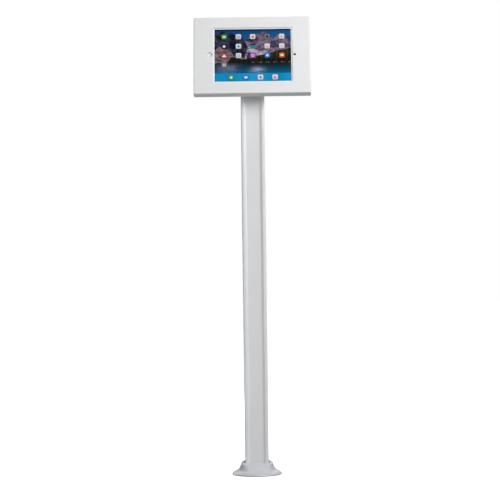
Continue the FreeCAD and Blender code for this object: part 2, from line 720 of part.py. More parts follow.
# ---- swivel joint ----
def make_swivel_hub():
    """Hollow flanged bush on the tray that turns in the bracket; the tablet's lead passes through it."""
    front = SHEET + HUB_FLANGE_THICKNESS
    tube = panel_disc(HUB_RADIUS, (HUB_BACK_N, front))
    flange = panel_disc(HUB_FLANGE_RADIUS, (SHEET, front))
    tools = [panel_disc(HUB_BORE_RADIUS, (HUB_BACK_N - PAST, front + PAST))]
    for degrees in QUARTERS:
        x, u = polar(HUB_SCREW_CIRCLE_RADIUS, degrees)
        tools.append(panel_disc(HUB_SCREW_FLANGE_HOLE_RADIUS, (SHEET - PAST, front + PAST), x, u))
    return cut_all(tube.fuse(flange), tools)


def make_hub_screws():
    """Pan-head screws that hold the hub's flange on the tray."""
    screws = []
    flange_front = SHEET + HUB_FLANGE_THICKNESS
    head_front = flange_front + HUB_SCREW_HEAD_HEIGHT
    for degrees in QUARTERS:
        x, u = polar(HUB_SCREW_CIRCLE_RADIUS, degrees)
        shank = panel_disc(HUB_SCREW_RADIUS, (HUB_SCREW_BACK_N, flange_front), x, u)
        head = panel_cone(*HUB_SCREW_HEAD_RADII, (flange_front, head_front), x, u)
        socket_n = (flange_front + HUB_SCREW_SOCKET_BOTTOM, head_front + PAST)
        socket = panel_hexagon(HUB_SCREW_SOCKET_FLATS, socket_n, x, u)
        screws.append(shank.fuse(head).cut(socket))
    return Part.makeCompound(screws)


def make_front_swivel_washer():
    """Nylon washer between the tray and the bracket."""
    return panel_ring(SWIVEL_WASHER_RADIUS, HUB_RADIUS, (BRACKET_FRONT_N + SWIVEL_WASHER_GAP, 0.0))


def make_rear_swivel_washer():
    """Nylon washer behind the bracket."""
    front = BRACKET_BACK_N - SWIVEL_WASHER_GAP
    return panel_ring(SWIVEL_WASHER_RADIUS, HUB_RADIUS, (front - SWIVEL_WASHER_THICKNESS, front))


def make_swivel_spring():
    """Disc spring that presses the swivel's washers together."""
    front = BRACKET_BACK_N - SWIVEL_WASHER_GAP - SWIVEL_WASHER_THICKNESS
    span = (front - SPRING_HEIGHT, front)
    bore = panel_disc(SPRING_INNER_RADII[0], grown(span, PAST))
    return panel_cone(*SPRING_OUTER_RADII, span).cut(panel_cone(*SPRING_INNER_RADII, span)).cut(bore)


def make_swivel_nut():
    """Thin hexagon nut on the hub's tube."""
    front = BRACKET_BACK_N - SWIVEL_WASHER_GAP - SWIVEL_WASHER_THICKNESS - SPRING_HEIGHT
    span = (front - SWIVEL_NUT_THICKNESS, front)
    return panel_hexagon(SWIVEL_NUT_FLATS, span).cut(panel_disc(HUB_RADIUS, grown(span, PAST)))


def make_swivel_stop_pin():
    """Headed pin in the tray that runs in the bracket's curved slot."""
    x, u = polar(STOP_PIN_CIRCLE_RADIUS, STOP_PIN_START_DEGREES)
    head_n = (SHEET, SHEET + STOP_PIN_HEAD_HEIGHT)
    pin = panel_disc(STOP_PIN_RADIUS, (BRACKET_BACK_N - STOP_PIN_PAST_BRACKET, head_n[1]), x, u)
    head = panel_disc(STOP_PIN_HEAD_RADIUS, head_n, x, u)
    return pin.fuse(head).removeSplitter()


# ---- enclosure ----
def make_back_tray():
    """Sheet-metal back: a flat panel with folded edges that sit inside the cover."""
    half_x = CASE_WIDTH / 2 - SHEET
    half_u = CASE_HEIGHT / 2 - SHEET - TRAY_GAP
    left = HINGE_X + KNUCKLE_RADIUS + LEAF_CLEARANCE
    right = half_x - SHEET
    through_n = (-PAST, SHEET + PAST)
    flange_n = (0.0, TRAY_FLANGE_N)
    pieces = [panel_box((left, right), (0.0, SHEET), (-half_u, half_u))]
    pieces.append(panel_box((left, right), flange_n, (half_u - SHEET, half_u)))
    pieces.append(panel_box((left, right), flange_n, (-half_u, SHEET - half_u)))
    pieces.append(panel_box((right - SHEET, right), flange_n, (-half_u, half_u)))
    tools = [panel_disc(HUB_RADIUS, through_n)]
    tools.append(panel_disc(LOCK_BODY_RADIUS, through_n, LOCK_X))
    notch_x = (right - LOCK_NOTCH_DEPTH, right + PAST)
    notch_u = (-LOCK_NOTCH_HALF_WIDTH, LOCK_NOTCH_HALF_WIDTH)
    tools.append(panel_box(notch_x, (SHEET, TRAY_FLANGE_N + PAST), notch_u))
    for degrees in QUARTERS:
        x, u = polar(HUB_SCREW_CIRCLE_RADIUS, degrees)
        tools.append(panel_disc(HUB_SCREW_TRAY_HOLE_RADIUS, through_n, x, u))
    x, u = polar(STOP_PIN_CIRCLE_RADIUS, STOP_PIN_START_DEGREES)
    tools.append(panel_disc(STOP_PIN_RADIUS, through_n, x, u))
    for u in RIVET_HEIGHTS:
        tools.append(panel_disc(RIVET_HOLE_RADIUS, through_n, HINGE_X + RIVET_OFFSET_X, u))
    tools += make_vent_slots()
    return cut_all(fuse_all(pieces), tools)


def make_vent_slots():
    """Two rows of round-ended cooling slots in the tray."""
    slots = []
    through_n = (-PAST, SHEET + PAST)
    for row_u in (-VENT_ROW_U, VENT_ROW_U):
        low = row_u - VENT_HALF_LENGTH
        high = row_u + VENT_HALF_LENGTH
        for index in range(VENT_COUNT):
            x = (index - (VENT_COUNT - 1) / 2) * VENT_PITCH
            slots.append(panel_box((x - VENT_RADIUS, x + VENT_RADIUS), through_n, (low, high)))
            slots.append(panel_disc(VENT_RADIUS, through_n, x, low))
            slots.append(panel_disc(VENT_RADIUS, through_n, x, high))
    return slots


def knuckle_spans():
    """Ranges of u along the hinge, one for each knuckle."""
    length = 2 * HINGE_HALF_LENGTH / KNUCKLE_COUNT
    spans = []
    for index in range(KNUCKLE_COUNT):
        low = -HINGE_HALF_LENGTH + index * length + KNUCKLE_GAP / 2
        spans.append((low, low + length - KNUCKLE_GAP))
    return spans


def make_back_hinge_leaf():
    """Leaf riveted to the tray, with every other knuckle."""
    leaf_n = (SHEET, SHEET + LEAF_THICKNESS)
    ends = (-HINGE_HALF_LENGTH, HINGE_HALF_LENGTH)
    clear_x = HINGE_X + KNUCKLE_RADIUS + LEAF_CLEARANCE
    pieces = [panel_box((clear_x, HINGE_X + LEAF_END_X), leaf_n, ends)]
    for span in knuckle_spans()[0::2]:
        pieces.append(panel_rod(KNUCKLE_RADIUS, HINGE_X, HINGE_N, span))
        pieces.append(panel_box((HINGE_X + LEAF_STRAP_START_X, clear_x), leaf_n, span))
    tools = [panel_rod(HINGE_PIN_RADIUS + RUNNING_CLEARANCE, HINGE_X, HINGE_N, grown(ends, PAST))]
    for u in RIVET_HEIGHTS:
        tools.append(panel_disc(RIVET_HOLE_RADIUS, grown(leaf_n, PAST), HINGE_X + RIVET_OFFSET_X, u))
    return cut_all(fuse_all(pieces), tools)


def make_cover_hinge_leaf():
    """Leaf on the inside of the cover's left wall, with the other knuckles."""
    wall_x = -CASE_WIDTH / 2 + SHEET
    leaf_x = (wall_x, wall_x + LEAF_THICKNESS)
    ends = (-HINGE_HALF_LENGTH, HINGE_HALF_LENGTH)
    upper_n = (HINGE_N + KNUCKLE_RADIUS + COVER_LEAF_GAP, COVER_LEAF_FRONT_N)
    strap_n = (HINGE_N + COVER_STRAP_N[0], COVER_STRAP_N[1])
    pieces = [panel_box(leaf_x, upper_n, ends)]
    for span in knuckle_spans()[1::2]:
        pieces.append(panel_rod(KNUCKLE_RADIUS, HINGE_X, HINGE_N, span))
        pieces.append(panel_box(leaf_x, strap_n, span))
    bore = HINGE_PIN_RADIUS + RUNNING_CLEARANCE
    pin_hole = panel_rod(bore, HINGE_X, HINGE_N, grown(ends, PAST))
    return cut_all(fuse_all(pieces), [pin_hole])


def make_hinge_pin():
    """Pin through all the knuckles."""
    return panel_rod(HINGE_PIN_RADIUS, HINGE_X, HINGE_N, (-HINGE_HALF_LENGTH, HINGE_HALF_LENGTH))


def make_hinge_rivets():
    """Rivets through the back leaf and the tray."""
    rivets = []
    leaf_front = SHEET + LEAF_THICKNESS
    x = HINGE_X + RIVET_OFFSET_X
    for u in RIVET_HEIGHTS:
        shank = panel_disc(RIVET_RADIUS, (0.0, leaf_front), x, u)
        head = panel_cone(*RIVET_HEAD_RADII, (leaf_front, leaf_front + RIVET_HEAD_HEIGHT), x, u)
        rivets.append(shank.fuse(head))
    return Part.makeCompound(rivets)


def make_front_cover():
    """Sheet-metal cover: a rounded tray with the screen window, a home-button hole and a camera hole."""
    half_x = CASE_WIDTH / 2
    half_u = CASE_HEIGHT / 2
    outer = rounded_slab((-half_x, half_x), (0.0, CASE_DEPTH), (-half_u, half_u), CASE_EDGE_RADIUS)
    front_edges = [edge for edge in outer.Edges if edge.BoundBox.YMax < -CASE_DEPTH + TOUCH]
    outer = outer.makeFillet(CASE_EDGE_RADIUS, front_edges)
    inner_x = half_x - SHEET
    inner_u = half_u - SHEET
    hollow_n = (-PAST, CASE_DEPTH - SHEET)
    inner_corner = CASE_EDGE_RADIUS - SHEET
    hollow = rounded_slab((-inner_x, inner_x), hollow_n, (-inner_u, inner_u), inner_corner)
    window_x = (TABLET_X - WINDOW_WIDTH / 2, TABLET_X + WINDOW_WIDTH / 2)
    window_u = (-WINDOW_HEIGHT / 2, WINDOW_HEIGHT / 2)
    through_n = (CASE_DEPTH - SHEET - PAST, CASE_DEPTH + PAST)
    tools = [hollow, rounded_slab(window_x, through_n, window_u, WINDOW_CORNER)]
    tools.append(panel_disc(HOME_HOLE_RADIUS, through_n, HOME_BUTTON_X))
    tools.append(panel_disc(CAMERA_HOLE_RADIUS, through_n, CAMERA_X))
    hinge_side = (-half_x - PAST, -half_x + SHEET)
    hinge_side_n = (-PAST, HINGE_N + KNUCKLE_RADIUS + LEAF_CLEARANCE)
    tools.append(panel_box(hinge_side, hinge_side_n, (-half_u - PAST, half_u + PAST)))
    return cut_all(outer, tools)


def make_latch_tab():
    """Angle welded inside the cover's right wall; the lock's cam holds it."""
    wall_x = CASE_WIDTH / 2 - SHEET
    u = (-LATCH_HALF_HEIGHT, LATCH_HALF_HEIGHT)
    tongue_n = (LATCH_N[0], LATCH_N[0] + LATCH_TONGUE_THICKNESS)
    web = panel_box((wall_x - LATCH_WEB_THICKNESS, wall_x), LATCH_N, u)
    tongue = panel_box((LOCK_X + LATCH_TONGUE_START, wall_x), tongue_n, u)
    return web.fuse(tongue).removeSplitter()


# ---- lock ----
def lock_span(half_width):
    """Range of x centred on the lock."""
    return LOCK_X - half_width, LOCK_X + half_width


def make_lock_barrel():
    """Body of the cam lock, through the tray from behind."""
    front = SHEET + LOCK_BODY_LENGTH
    body = panel_disc(LOCK_BODY_RADIUS, (0.0, front), LOCK_X)
    flange = panel_cone(*LOCK_FLANGE_RADII, (-LOCK_FLANGE_THICKNESS, 0.0), LOCK_X)
    bore_n = (-LOCK_FLANGE_THICKNESS - PAST, front + PAST)
    bore = panel_disc(LOCK_PLUG_RADIUS + RUNNING_CLEARANCE, bore_n, LOCK_X)
    return body.fuse(flange).cut(bore)


def make_lock_nut():
    """Thin nut that clamps the lock's body in the tray."""
    span = (SHEET, SHEET + LOCK_NUT_THICKNESS)
    nut = panel_hexagon(LOCK_NUT_FLATS, span, LOCK_X)
    return nut.cut(panel_disc(LOCK_BODY_RADIUS, grown(span, PAST), LOCK_X))


def make_lock_plug():
    """Turning plug with its keyway; a square stub carries the cam."""
    front = CAM_N + CAM_THICKNESS
    stub_n = (CAM_N - PLUG_STUB_START, front)
    plug = panel_disc(LOCK_PLUG_RADIUS, (PLUG_BACK_N, stub_n[0]), LOCK_X)
    stub = panel_box(lock_span(PLUG_STUB_HALF), stub_n, (-PLUG_STUB_HALF, PLUG_STUB_HALF))
    keyway = panel_box(lock_span(KEYWAY_HALF[0]), KEYWAY_N, (-KEYWAY_HALF[1], KEYWAY_HALF[1]))
    screw_hole = panel_disc(PLUG_SCREW_HOLE_RADIUS, (CAM_N - PLUG_SCREW_HOLE_DEPTH, front + PAST), LOCK_X)
    return plug.fuse(stub).cut(keyway).cut(screw_hole)


def make_lock_cam():
    """Cam arm. At rest it points up the panel, clear of the latch tab."""
    n = (CAM_N, CAM_N + CAM_THICKNESS)
    arm = panel_box(lock_span(CAM_HALF_WIDTH), n, (0.0, CAM_REACH))
    hub = panel_disc(CAM_HUB_RADIUS, n, LOCK_X)
    square = panel_box(lock_span(PLUG_STUB_HALF), grown(n, PAST), (-PLUG_STUB_HALF, PLUG_STUB_HALF))
    return arm.fuse(hub).removeSplitter().cut(square)


def make_cam_screw():
    """Screw that holds the cam on the plug."""
    front = CAM_N + CAM_THICKNESS
    head_front = front + CAM_SCREW_HEAD_HEIGHT
    head_radius = CAM_SCREW_HEAD_RADII[0]
    slot_n = (front + CAM_SCREW_HEAD_HEIGHT / 2, head_front + PAST)
    shank = panel_disc(CAM_SCREW_RADIUS, (CAM_N - CAM_SCREW_LENGTH, front), LOCK_X)
    head = panel_cone(*CAM_SCREW_HEAD_RADII, (front, head_front), LOCK_X)
    slot = panel_box(lock_span(CAM_SCREW_SLOT_HALF_WIDTH), slot_n, (-head_radius, head_radius))
    return shank.fuse(head).cut(slot)


# ---- tablet ----
def tablet_slab(n, inset=0.0):
    """Rounded slab of the tablet's outline, made smaller all round by the inset."""
    half_x = TABLET_WIDTH / 2 - inset
    half_u = TABLET_HEIGHT / 2 - inset
    x = (TABLET_X - half_x, TABLET_X + half_x)
    return rounded_slab(x, n, (-half_u, half_u), TABLET_CORNER - inset)


def key_boxes():
    """The tablet's three edge keys as name: (x, u) ranges at rest."""
    right = TABLET_X + TABLET_WIDTH / 2
    bottom = -TABLET_HEIGHT / 2
    bottom_u = (bottom - KEY_STANDS_OUT, bottom + KEY_REACHES_IN)
    return {
        "power_key": ((right - KEY_REACHES_IN, right + KEY_STANDS_OUT), POWER_KEY_U),
        "volume_up_key": (VOLUME_UP_KEY_X, bottom_u),
        "volume_down_key": (VOLUME_DOWN_KEY_X, bottom_u),
    }


def make_tablet_body():
    """Aluminium back shell of the tablet, hollow, with pockets for its keys."""
    body = tablet_slab((TABLET_BACK_N, TABLET_GLASS_N))
    rear_edges = [edge for edge in body.Edges if edge.BoundBox.YMin > -TABLET_BACK_N - TOUCH]
    body = body.makeFillet(TABLET_REAR_RADIUS, rear_edges)
    half_x, half_u = TABLET_HOLLOW_HALF
    open_n = TABLET_GLASS_N + PAST
    hollow_n = (TABLET_BACK_N + TABLET_SHELL, open_n)
    hollow = panel_box((TABLET_X - half_x, TABLET_X + half_x), hollow_n, (-half_u, half_u))
    pocket_n = (TABLET_BACK_N + BUTTON_POCKET_FLOOR, open_n)
    tools = [hollow, panel_disc(HOME_BUTTON_RADIUS + BUTTON_POCKET_GAP, pocket_n, HOME_BUTTON_X)]
    side_gap = KEY_GAP + KEY_SIDE_GAP
    for x, u in key_boxes().values():
        tools.append(panel_box(grown(x, side_gap), grown(KEY_N, KEY_GAP), grown(u, side_gap)))
    left = TABLET_X - TABLET_WIDTH / 2
    port_x = (left - PAST, left + TABLET_PORT_DEPTH)
    tools.append(rounded_slot_along_x(port_x, TABLET_PORT_N, TABLET_PORT_HEIGHT, TABLET_PORT_LENGTH))
    return cut_all(body, tools)


def rounded_slot_along_x(x, n, height, length):
    """Round-ended slot that runs into the tablet's short edge."""
    half = (length - height) / 2
    middle = panel_box(x, (n - height / 2, n + height / 2), (-half, half))
    ends = [cross_rod(height / 2, x[0], x[1], -n, -half), cross_rod(height / 2, x[0], x[1], -n, half)]
    return fuse_all([middle] + ends)


def make_tablet_bezel():
    """White front glass around the screen, with holes for the button and the camera."""
    glass_n = (TABLET_GLASS_N, TABLET_FRONT_N)
    glass = tablet_slab(glass_n, GLASS_INSET)
    through_n = grown(glass_n, PAST)
    x = (TABLET_X - SCREEN_WIDTH / 2, TABLET_X + SCREEN_WIDTH / 2)
    tools = [panel_box(x, through_n, (-SCREEN_HEIGHT / 2, SCREEN_HEIGHT / 2))]
    tools.append(panel_disc(HOME_BUTTON_RADIUS + BUTTON_GAP, through_n, HOME_BUTTON_X))
    tools.append(panel_disc(CAMERA_RADIUS, through_n, CAMERA_X))
    return cut_all(glass, tools)


def make_display_panel():
    """Display panel, flush with the bezel's front."""
    x = (TABLET_X - SCREEN_WIDTH / 2, TABLET_X + SCREEN_WIDTH / 2)
    u = (-SCREEN_HEIGHT / 2, SCREEN_HEIGHT / 2)
    return panel_box(x, (TABLET_FRONT_N - DISPLAY_THICKNESS, TABLET_FRONT_N), u)


def make_camera_lens():
    """Small dark window of the front camera."""
    return panel_disc(CAMERA_RADIUS, (TABLET_GLASS_N, TABLET_FRONT_N), CAMERA_X)


def make_home_button():
    """Round button with a shallow dish, just below the glass."""
    face_n = TABLET_FRONT_N - BUTTON_SUNK
    button = panel_disc(HOME_BUTTON_RADIUS, (TABLET_GLASS_N - BUTTON_THICKNESS, face_n), HOME_BUTTON_X)
    dish_n = face_n - BUTTON_DISH_DEPTH + BUTTON_DISH_RADIUS
    return button.cut(Part.makeSphere(BUTTON_DISH_RADIUS, Vector(HOME_BUTTON_X, -dish_n, 0)))


def make_tablet_battery():
    """Flat cell inside the tablet."""
    back = TABLET_BACK_N + TABLET_SHELL
    x = [TABLET_X + end for end in BATTERY_X]
    u = (-BATTERY_HALF_HEIGHT, BATTERY_HALF_HEIGHT)
    return rounded_slab(x, (back, back + BATTERY_THICKNESS), u, BATTERY_CORNER)


def make_logic_board():
    """Narrow circuit board beside the cell."""
    back = TABLET_BACK_N + TABLET_SHELL
    x = [TABLET_X + end for end in BOARD_X]
    return panel_box(x, (back, back + BOARD_THICKNESS), (-BOARD_HALF_HEIGHT, BOARD_HALF_HEIGHT))


def make_foam_pads():
    """Four foam pads between the tray and the tablet's back."""
    half_x, half_u = BACK_PAD_HALF
    pads = []
    for offset, u in four_corners(*BACK_PAD_CENTRE):
        x = TABLET_X + offset
        pads.append(panel_box((x - half_x, x + half_x), (SHEET, TABLET_BACK_N), (u - half_u, u + half_u)))
    return Part.makeCompound(pads)


def make_edge_pads():
    """Foam blocks that centre the tablet between the tray's folded edges."""
    half_x = TABLET_WIDTH / 2
    half_u = TABLET_HEIGHT / 2
    outer_u = CASE_HEIGHT / 2 - 2 * SHEET - TRAY_GAP
    n = (SHEET, TABLET_FRONT_N - EDGE_PAD_FRONT_GAP)
    left = TABLET_X - half_x
    right = TABLET_X + half_x
    pads = []
    for side in (-1, 1):
        long_edge = sorted((side * half_u, side * outer_u))
        for offset in EDGE_PAD_CENTRES_X:
            x = TABLET_X + offset
            pads.append(panel_box((x - EDGE_PAD_HALF_WIDTH, x + EDGE_PAD_HALF_WIDTH), n, long_edge))
        centre_u = side * SIDE_PAD_CENTRE_U
        short_u = (centre_u - SIDE_PAD_HALF_HEIGHT, centre_u + SIDE_PAD_HALF_HEIGHT)
        pads.append(panel_box((left - SIDE_PAD_DEPTHS[0], left), n, short_u))
        pads.append(panel_box((right, right + SIDE_PAD_DEPTHS[1]), n, short_u))
    return Part.makeCompound(pads)


def make_key(name):
    """One of the tablet's edge keys."""
    x, u = key_boxes()[name]
    key = panel_box(x, KEY_N, u)
    long_axis = X_AXIS if x[1] - x[0] > u[1] - u[0] else Z_AXIS
    return key.makeFillet(KEY_EDGE_RADIUS, edges_along(key, long_axis))


# ---- all pieces ----
BASE_PIECES = {
    "base_plate": make_base_plate,
    "post_foot_screws": make_post_foot_screws,
    "post": make_post,
    "cable_cover": make_cable_cover,
    "base_skirt": make_skirt,
    "head_yoke": make_head_yoke,
    "head_screws": make_head_screws,
    "cable_grommet": make_cable_grommet,
}

HEAD_PIECES = {
    "tilt_bracket": make_tilt_bracket,
    "tilt_bolt": make_tilt_bolt,
    "tilt_nut": make_tilt_nut,
    "tilt_washers": make_tilt_washers,
    "friction_washers": make_friction_washers,
    "swivel_hub": make_swivel_hub,
    "hub_screws": make_hub_screws,
    "front_swivel_washer": make_front_swivel_washer,
    "rear_swivel_washer": make_rear_swivel_washer,
    "swivel_spring": make_swivel_spring,
    "swivel_nut": make_swivel_nut,
    "swivel_stop_pin": make_swivel_stop_pin,
    "back_tray": make_back_tray,
    "back_hinge_leaf": make_back_hinge_leaf,
    "cover_hinge_leaf": make_cover_hinge_leaf,
    "hinge_pin": make_hinge_pin,
    "hinge_rivets": make_hinge_rivets,
    "front_cover": make_front_cover,
    "latch_tab": make_latch_tab,
    "lock_barrel": make_lock_barrel,
    "lock_nut": make_lock_nut,
    "lock_plug": make_lock_plug,
    "lock_cam": make_lock_cam,
    "cam_screw": make_cam_screw,
    "tablet_body": make_tablet_body,
    "tablet_bezel": make_tablet_bezel,
    "display_panel": make_display_panel,
    "camera_lens": make_camera_lens,
    "home_button": make_home_button,
    "tablet_battery": make_tablet_battery,
    "logic_board": make_logic_board,
    "foam_pads": make_foam_pads,
    "edge_pads": make_edge_pads,
}

KEY_NAMES = ("power_key", "volume_up_key", "volume_down_key")


def main():
    """Build every piece and write it as a STEP file."""
    os.makedirs("parts", exist_ok=True)
    for name, make in BASE_PIECES.items():
        make().exportStep(f"parts/{name}.step")
    for name, make in HEAD_PIECES.items():
        place_on_head(make()).exportStep(f"parts/{name}.step")
    for name in KEY_NAMES:
        place_on_head(make_key(name)).exportStep(f"parts/{name}.step")


main()
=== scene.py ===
import json
import math

import bmesh
import bpy
import numpy as np
from mathutils import Matrix, Vector


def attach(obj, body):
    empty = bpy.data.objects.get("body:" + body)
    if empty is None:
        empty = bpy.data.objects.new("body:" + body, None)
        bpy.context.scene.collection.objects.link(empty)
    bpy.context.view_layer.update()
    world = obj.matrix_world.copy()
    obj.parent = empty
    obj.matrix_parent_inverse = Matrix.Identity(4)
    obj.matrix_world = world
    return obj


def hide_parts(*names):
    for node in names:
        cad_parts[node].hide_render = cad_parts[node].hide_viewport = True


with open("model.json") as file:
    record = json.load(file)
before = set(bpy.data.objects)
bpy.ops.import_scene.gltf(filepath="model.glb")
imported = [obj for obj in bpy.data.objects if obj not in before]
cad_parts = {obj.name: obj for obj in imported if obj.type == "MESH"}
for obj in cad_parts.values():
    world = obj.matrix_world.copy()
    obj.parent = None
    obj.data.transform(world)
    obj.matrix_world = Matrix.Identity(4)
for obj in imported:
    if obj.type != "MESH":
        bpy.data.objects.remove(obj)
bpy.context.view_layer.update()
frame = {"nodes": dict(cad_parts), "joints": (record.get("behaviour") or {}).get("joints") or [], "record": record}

# ---- the panel frame: X runs along the panel, UP runs up its face and OUT points out of its face ----
joints = {joint["name"]: joint for joint in frame["joints"]}
OUT = Vector(joints["head_rotate"]["axis"]).normalized()
ACROSS = Vector((1, 0, 0))
UP = OUT.cross(ACROSS).normalized()
SWIVEL = Vector(joints["head_rotate"]["pos_m"])


def panel_ranges(points):
    """Lowest and highest x, n and u of some points, in metres, measured in the panel frame."""
    rows = [[(point - SWIVEL).dot(axis) for point in points] for axis in (ACROSS, OUT, UP)]
    return [(min(row), max(row)) for row in rows]


def panel_extent(node):
    """Lowest and highest x, n and u of a CAD node."""
    return panel_ranges([vertex.co for vertex in frame["nodes"][node].data.vertices])


def place_on_panel(x, n, u):
    """The point in the object's frame that has these panel coordinates."""
    return SWIVEL + ACROSS * x + OUT * n + UP * u


def panel_centre(node):
    """Middle of a CAD node's panel-frame box, as a point in the object's frame."""
    return place_on_panel(*[(low + high) / 2 for low, high in panel_extent(node)])


# ---- shader helpers ----
# Where most of a noise's values fall.
NOISE_RANGE = (0.3, 0.7)


class Shader:
    """A material with one Principled shader, and short calls that add nodes to it."""

    def __init__(self, name, colour, roughness, metallic=0.0):
        self.material = bpy.data.materials.new(name)
        self.material.use_nodes = True
        self.tree = self.material.node_tree
        self.bsdf = self.tree.nodes["Principled BSDF"]
        self.set("Base Color", (*colour, 1))
        self.set("Roughness", roughness)
        self.set("Metallic", metallic)
        self.place = self.node("ShaderNodeTexCoord").outputs["Object"]

    def node(self, kind, **settings):
        """Add a node."""
        made = self.tree.nodes.new(kind)
        for key, value in settings.items():
            setattr(made, key, value)
        return made

    def link(self, start, end):
        """Join two sockets."""
        self.tree.links.new(start, end)

    def feed(self, value, socket):
        """Give a socket its value, which is a number, a colour or another socket."""
        if isinstance(value, bpy.types.NodeSocket):
            self.link(value, socket)
        elif socket.type == "RGBA":
            socket.default_value = (*value, 1)
        else:
            socket.default_value = value

    def set(self, socket, value):
        """Set a constant on the Principled shader."""
        self.bsdf.inputs[socket].default_value = value

    def drive(self, socket, value):
        """Link a value to the Principled shader."""
        self.link(value, self.bsdf.inputs[socket])

    def stretched(self, scale):
        """Coordinates multiplied by a scale along each axis."""
        mapping = self.node("ShaderNodeMapping")
        mapping.inputs["Scale"].default_value = scale
        self.link(self.place, mapping.inputs["Vector"])
        return mapping.outputs["Vector"]

    def noise(self, scale, detail, vector=None):
        """Noise from 0 to 1; scale is in features per metre."""
        made = self.node("ShaderNodeTexNoise")
        made.inputs["Scale"].default_value = scale
        made.inputs["Detail"].default_value = detail
        self.link(vector or self.place, made.inputs["Vector"])
        return made.outputs["Fac"]

    def cells(self, scale):
        """Distance to the nearest cell point; scale is in cells per metre."""
        made = self.node("ShaderNodeTexVoronoi", feature="F1")
        made.inputs["Scale"].default_value = scale
        self.link(self.place, made.inputs["Vector"])
        return made.outputs["Distance"]

    def distance_from(self, point):
        """Distance of the surface from a point, in metres."""
        made = self.node("ShaderNodeVectorMath", operation="DISTANCE")
        self.link(self.place, made.inputs[0])
        made.inputs[1].default_value = point
        return made.outputs["Value"]

    def height_above_floor(self):
        """The Z coordinate of the surface at rest."""
        split = self.node("ShaderNodeSeparateXYZ")
        self.link(self.place, split.inputs["Vector"])
        return split.outputs["Z"]

    def spread(self, value, low, high, to_low, to_high):
        """Map a value's range onto another, clamped."""
        made = self.node("ShaderNodeMapRange")
        for socket, number in zip(("From Min", "From Max", "To Min", "To Max"), (low, high, to_low, to_high)):
            made.inputs[socket].default_value = number
        self.link(value, made.inputs["Value"])
        return made.outputs["Result"]

    def mix(self, factor, first, second):
        """Blend two colours; each is a colour or a socket."""
        made = self.node("ShaderNodeMix", data_type="RGBA")
        sockets = [socket for socket in made.inputs if socket.type == "RGBA"]
        self.link(factor, made.inputs["Factor"])
        for socket, value in zip(sockets, (first, second)):
            self.feed(value, socket)
        return [socket for socket in made.outputs if socket.type == "RGBA"][0]

    def layer(self, tone, colour, value, value_range, share=1.0):
        """Lay a colour over a tone. It shows more as the value goes through its range, up to the share."""
        return self.mix(self.spread(value, *value_range, 0.0, share), tone, colour)

    def math(self, operation, *values):
        """One arithmetic step on sockets or numbers."""
        made = self.node("ShaderNodeMath", operation=operation)
        for socket, value in zip(made.inputs, values):
            self.feed(value, socket)
        return made.outputs["Value"]

    def bump(self, height, distance, strength, below=None):
        """Bump from a height socket, on top of another bump; distance is in metres."""
        made = self.node("ShaderNodeBump")
        made.inputs["Distance"].default_value = distance
        made.inputs["Strength"].default_value = strength
        self.link(height, made.inputs["Height"])
        if below is not None:
            self.link(below, made.inputs["Normal"])
        self.drive("Normal", made.outputs["Normal"])
        return made.outputs["Normal"]

    def roughen(self, value, limits, value_range=NOISE_RANGE):
        """Let the roughness follow a value between two limits."""
        self.drive("Roughness", self.spread(value, *value_range, *limits))

    def clear_coat(self, weight, roughness):
        """Put a clear layer over the surface."""
        self.set("Coat Weight", weight)
        self.set("Coat Roughness", roughness)


def scaled(colour, factor):
    """A colour made lighter or darker."""
    return tuple(min(1.0, channel * factor) for channel in colour)


# ---- materials ----
# In the settings below, a scale is in features per metre. A bump is a height in metres and a strength.
# A shade multiplies the finish's own colour. A gloss is the lowest and highest roughness, or how far the
# roughness goes either side of the finish's own.
COAT_DRIFT_SCALE = 9
COAT_DRIFT_SHADES = (0.975, 1.01)
COAT_SPECK_SCALE = 2600
COAT_SPECK_RANGE = (0.68, 0.78)
COAT_SPECK_SHARE = 0.25
COAT_SPECK_SHADE = 0.9
COAT_MARK_SCALE = 60
COAT_MARK_STRETCH = (1.0, 1.0, 0.15)
COAT_MARK_RANGE = (0.66, 0.8)
COAT_MARK_SHARE = 0.12
COAT_MARK_SHADE = 0.8
COAT_GLOSS_SCALE = 140
COAT_GLOSS = (-0.06, 0.08)
COAT_PEEL_SCALE = 620
COAT_PEEL_BUMP = (0.00012, 0.5)
COAT_GRIT_SCALE = 3200
COAT_GRIT_BUMP = (0.00003, 0.35)


def around(roughness, gloss):
    """Limits of the roughness that lie either side of a finish's own."""
    return [roughness + step for step in gloss]


def powder_coat(name, colour, roughness=0.42):
    """Satin powder coat: orange peel, fine grit, faint shade drift and light handling marks."""
    s = Shader(name, colour, roughness)
    darkest, lightest = [scaled(colour, shade) for shade in COAT_DRIFT_SHADES]
    tone = s.layer(darkest, lightest, s.noise(COAT_DRIFT_SCALE, detail=2), NOISE_RANGE)
    specks = s.noise(COAT_SPECK_SCALE, detail=1)
    tone = s.layer(tone, scaled(colour, COAT_SPECK_SHADE), specks, COAT_SPECK_RANGE, COAT_SPECK_SHARE)
    marks = s.noise(COAT_MARK_SCALE, detail=6, vector=s.stretched(COAT_MARK_STRETCH))
    tone = s.layer(tone, scaled(colour, COAT_MARK_SHADE), marks, COAT_MARK_RANGE, COAT_MARK_SHARE)
    s.drive("Base Color", tone)
    s.roughen(s.noise(COAT_GLOSS_SCALE, detail=4), around(roughness, COAT_GLOSS))
    peel = s.bump(s.noise(COAT_PEEL_SCALE, detail=2), *COAT_PEEL_BUMP)
    s.bump(s.noise(COAT_GRIT_SCALE, detail=2), *COAT_GRIT_BUMP, below=peel)
    return s.material


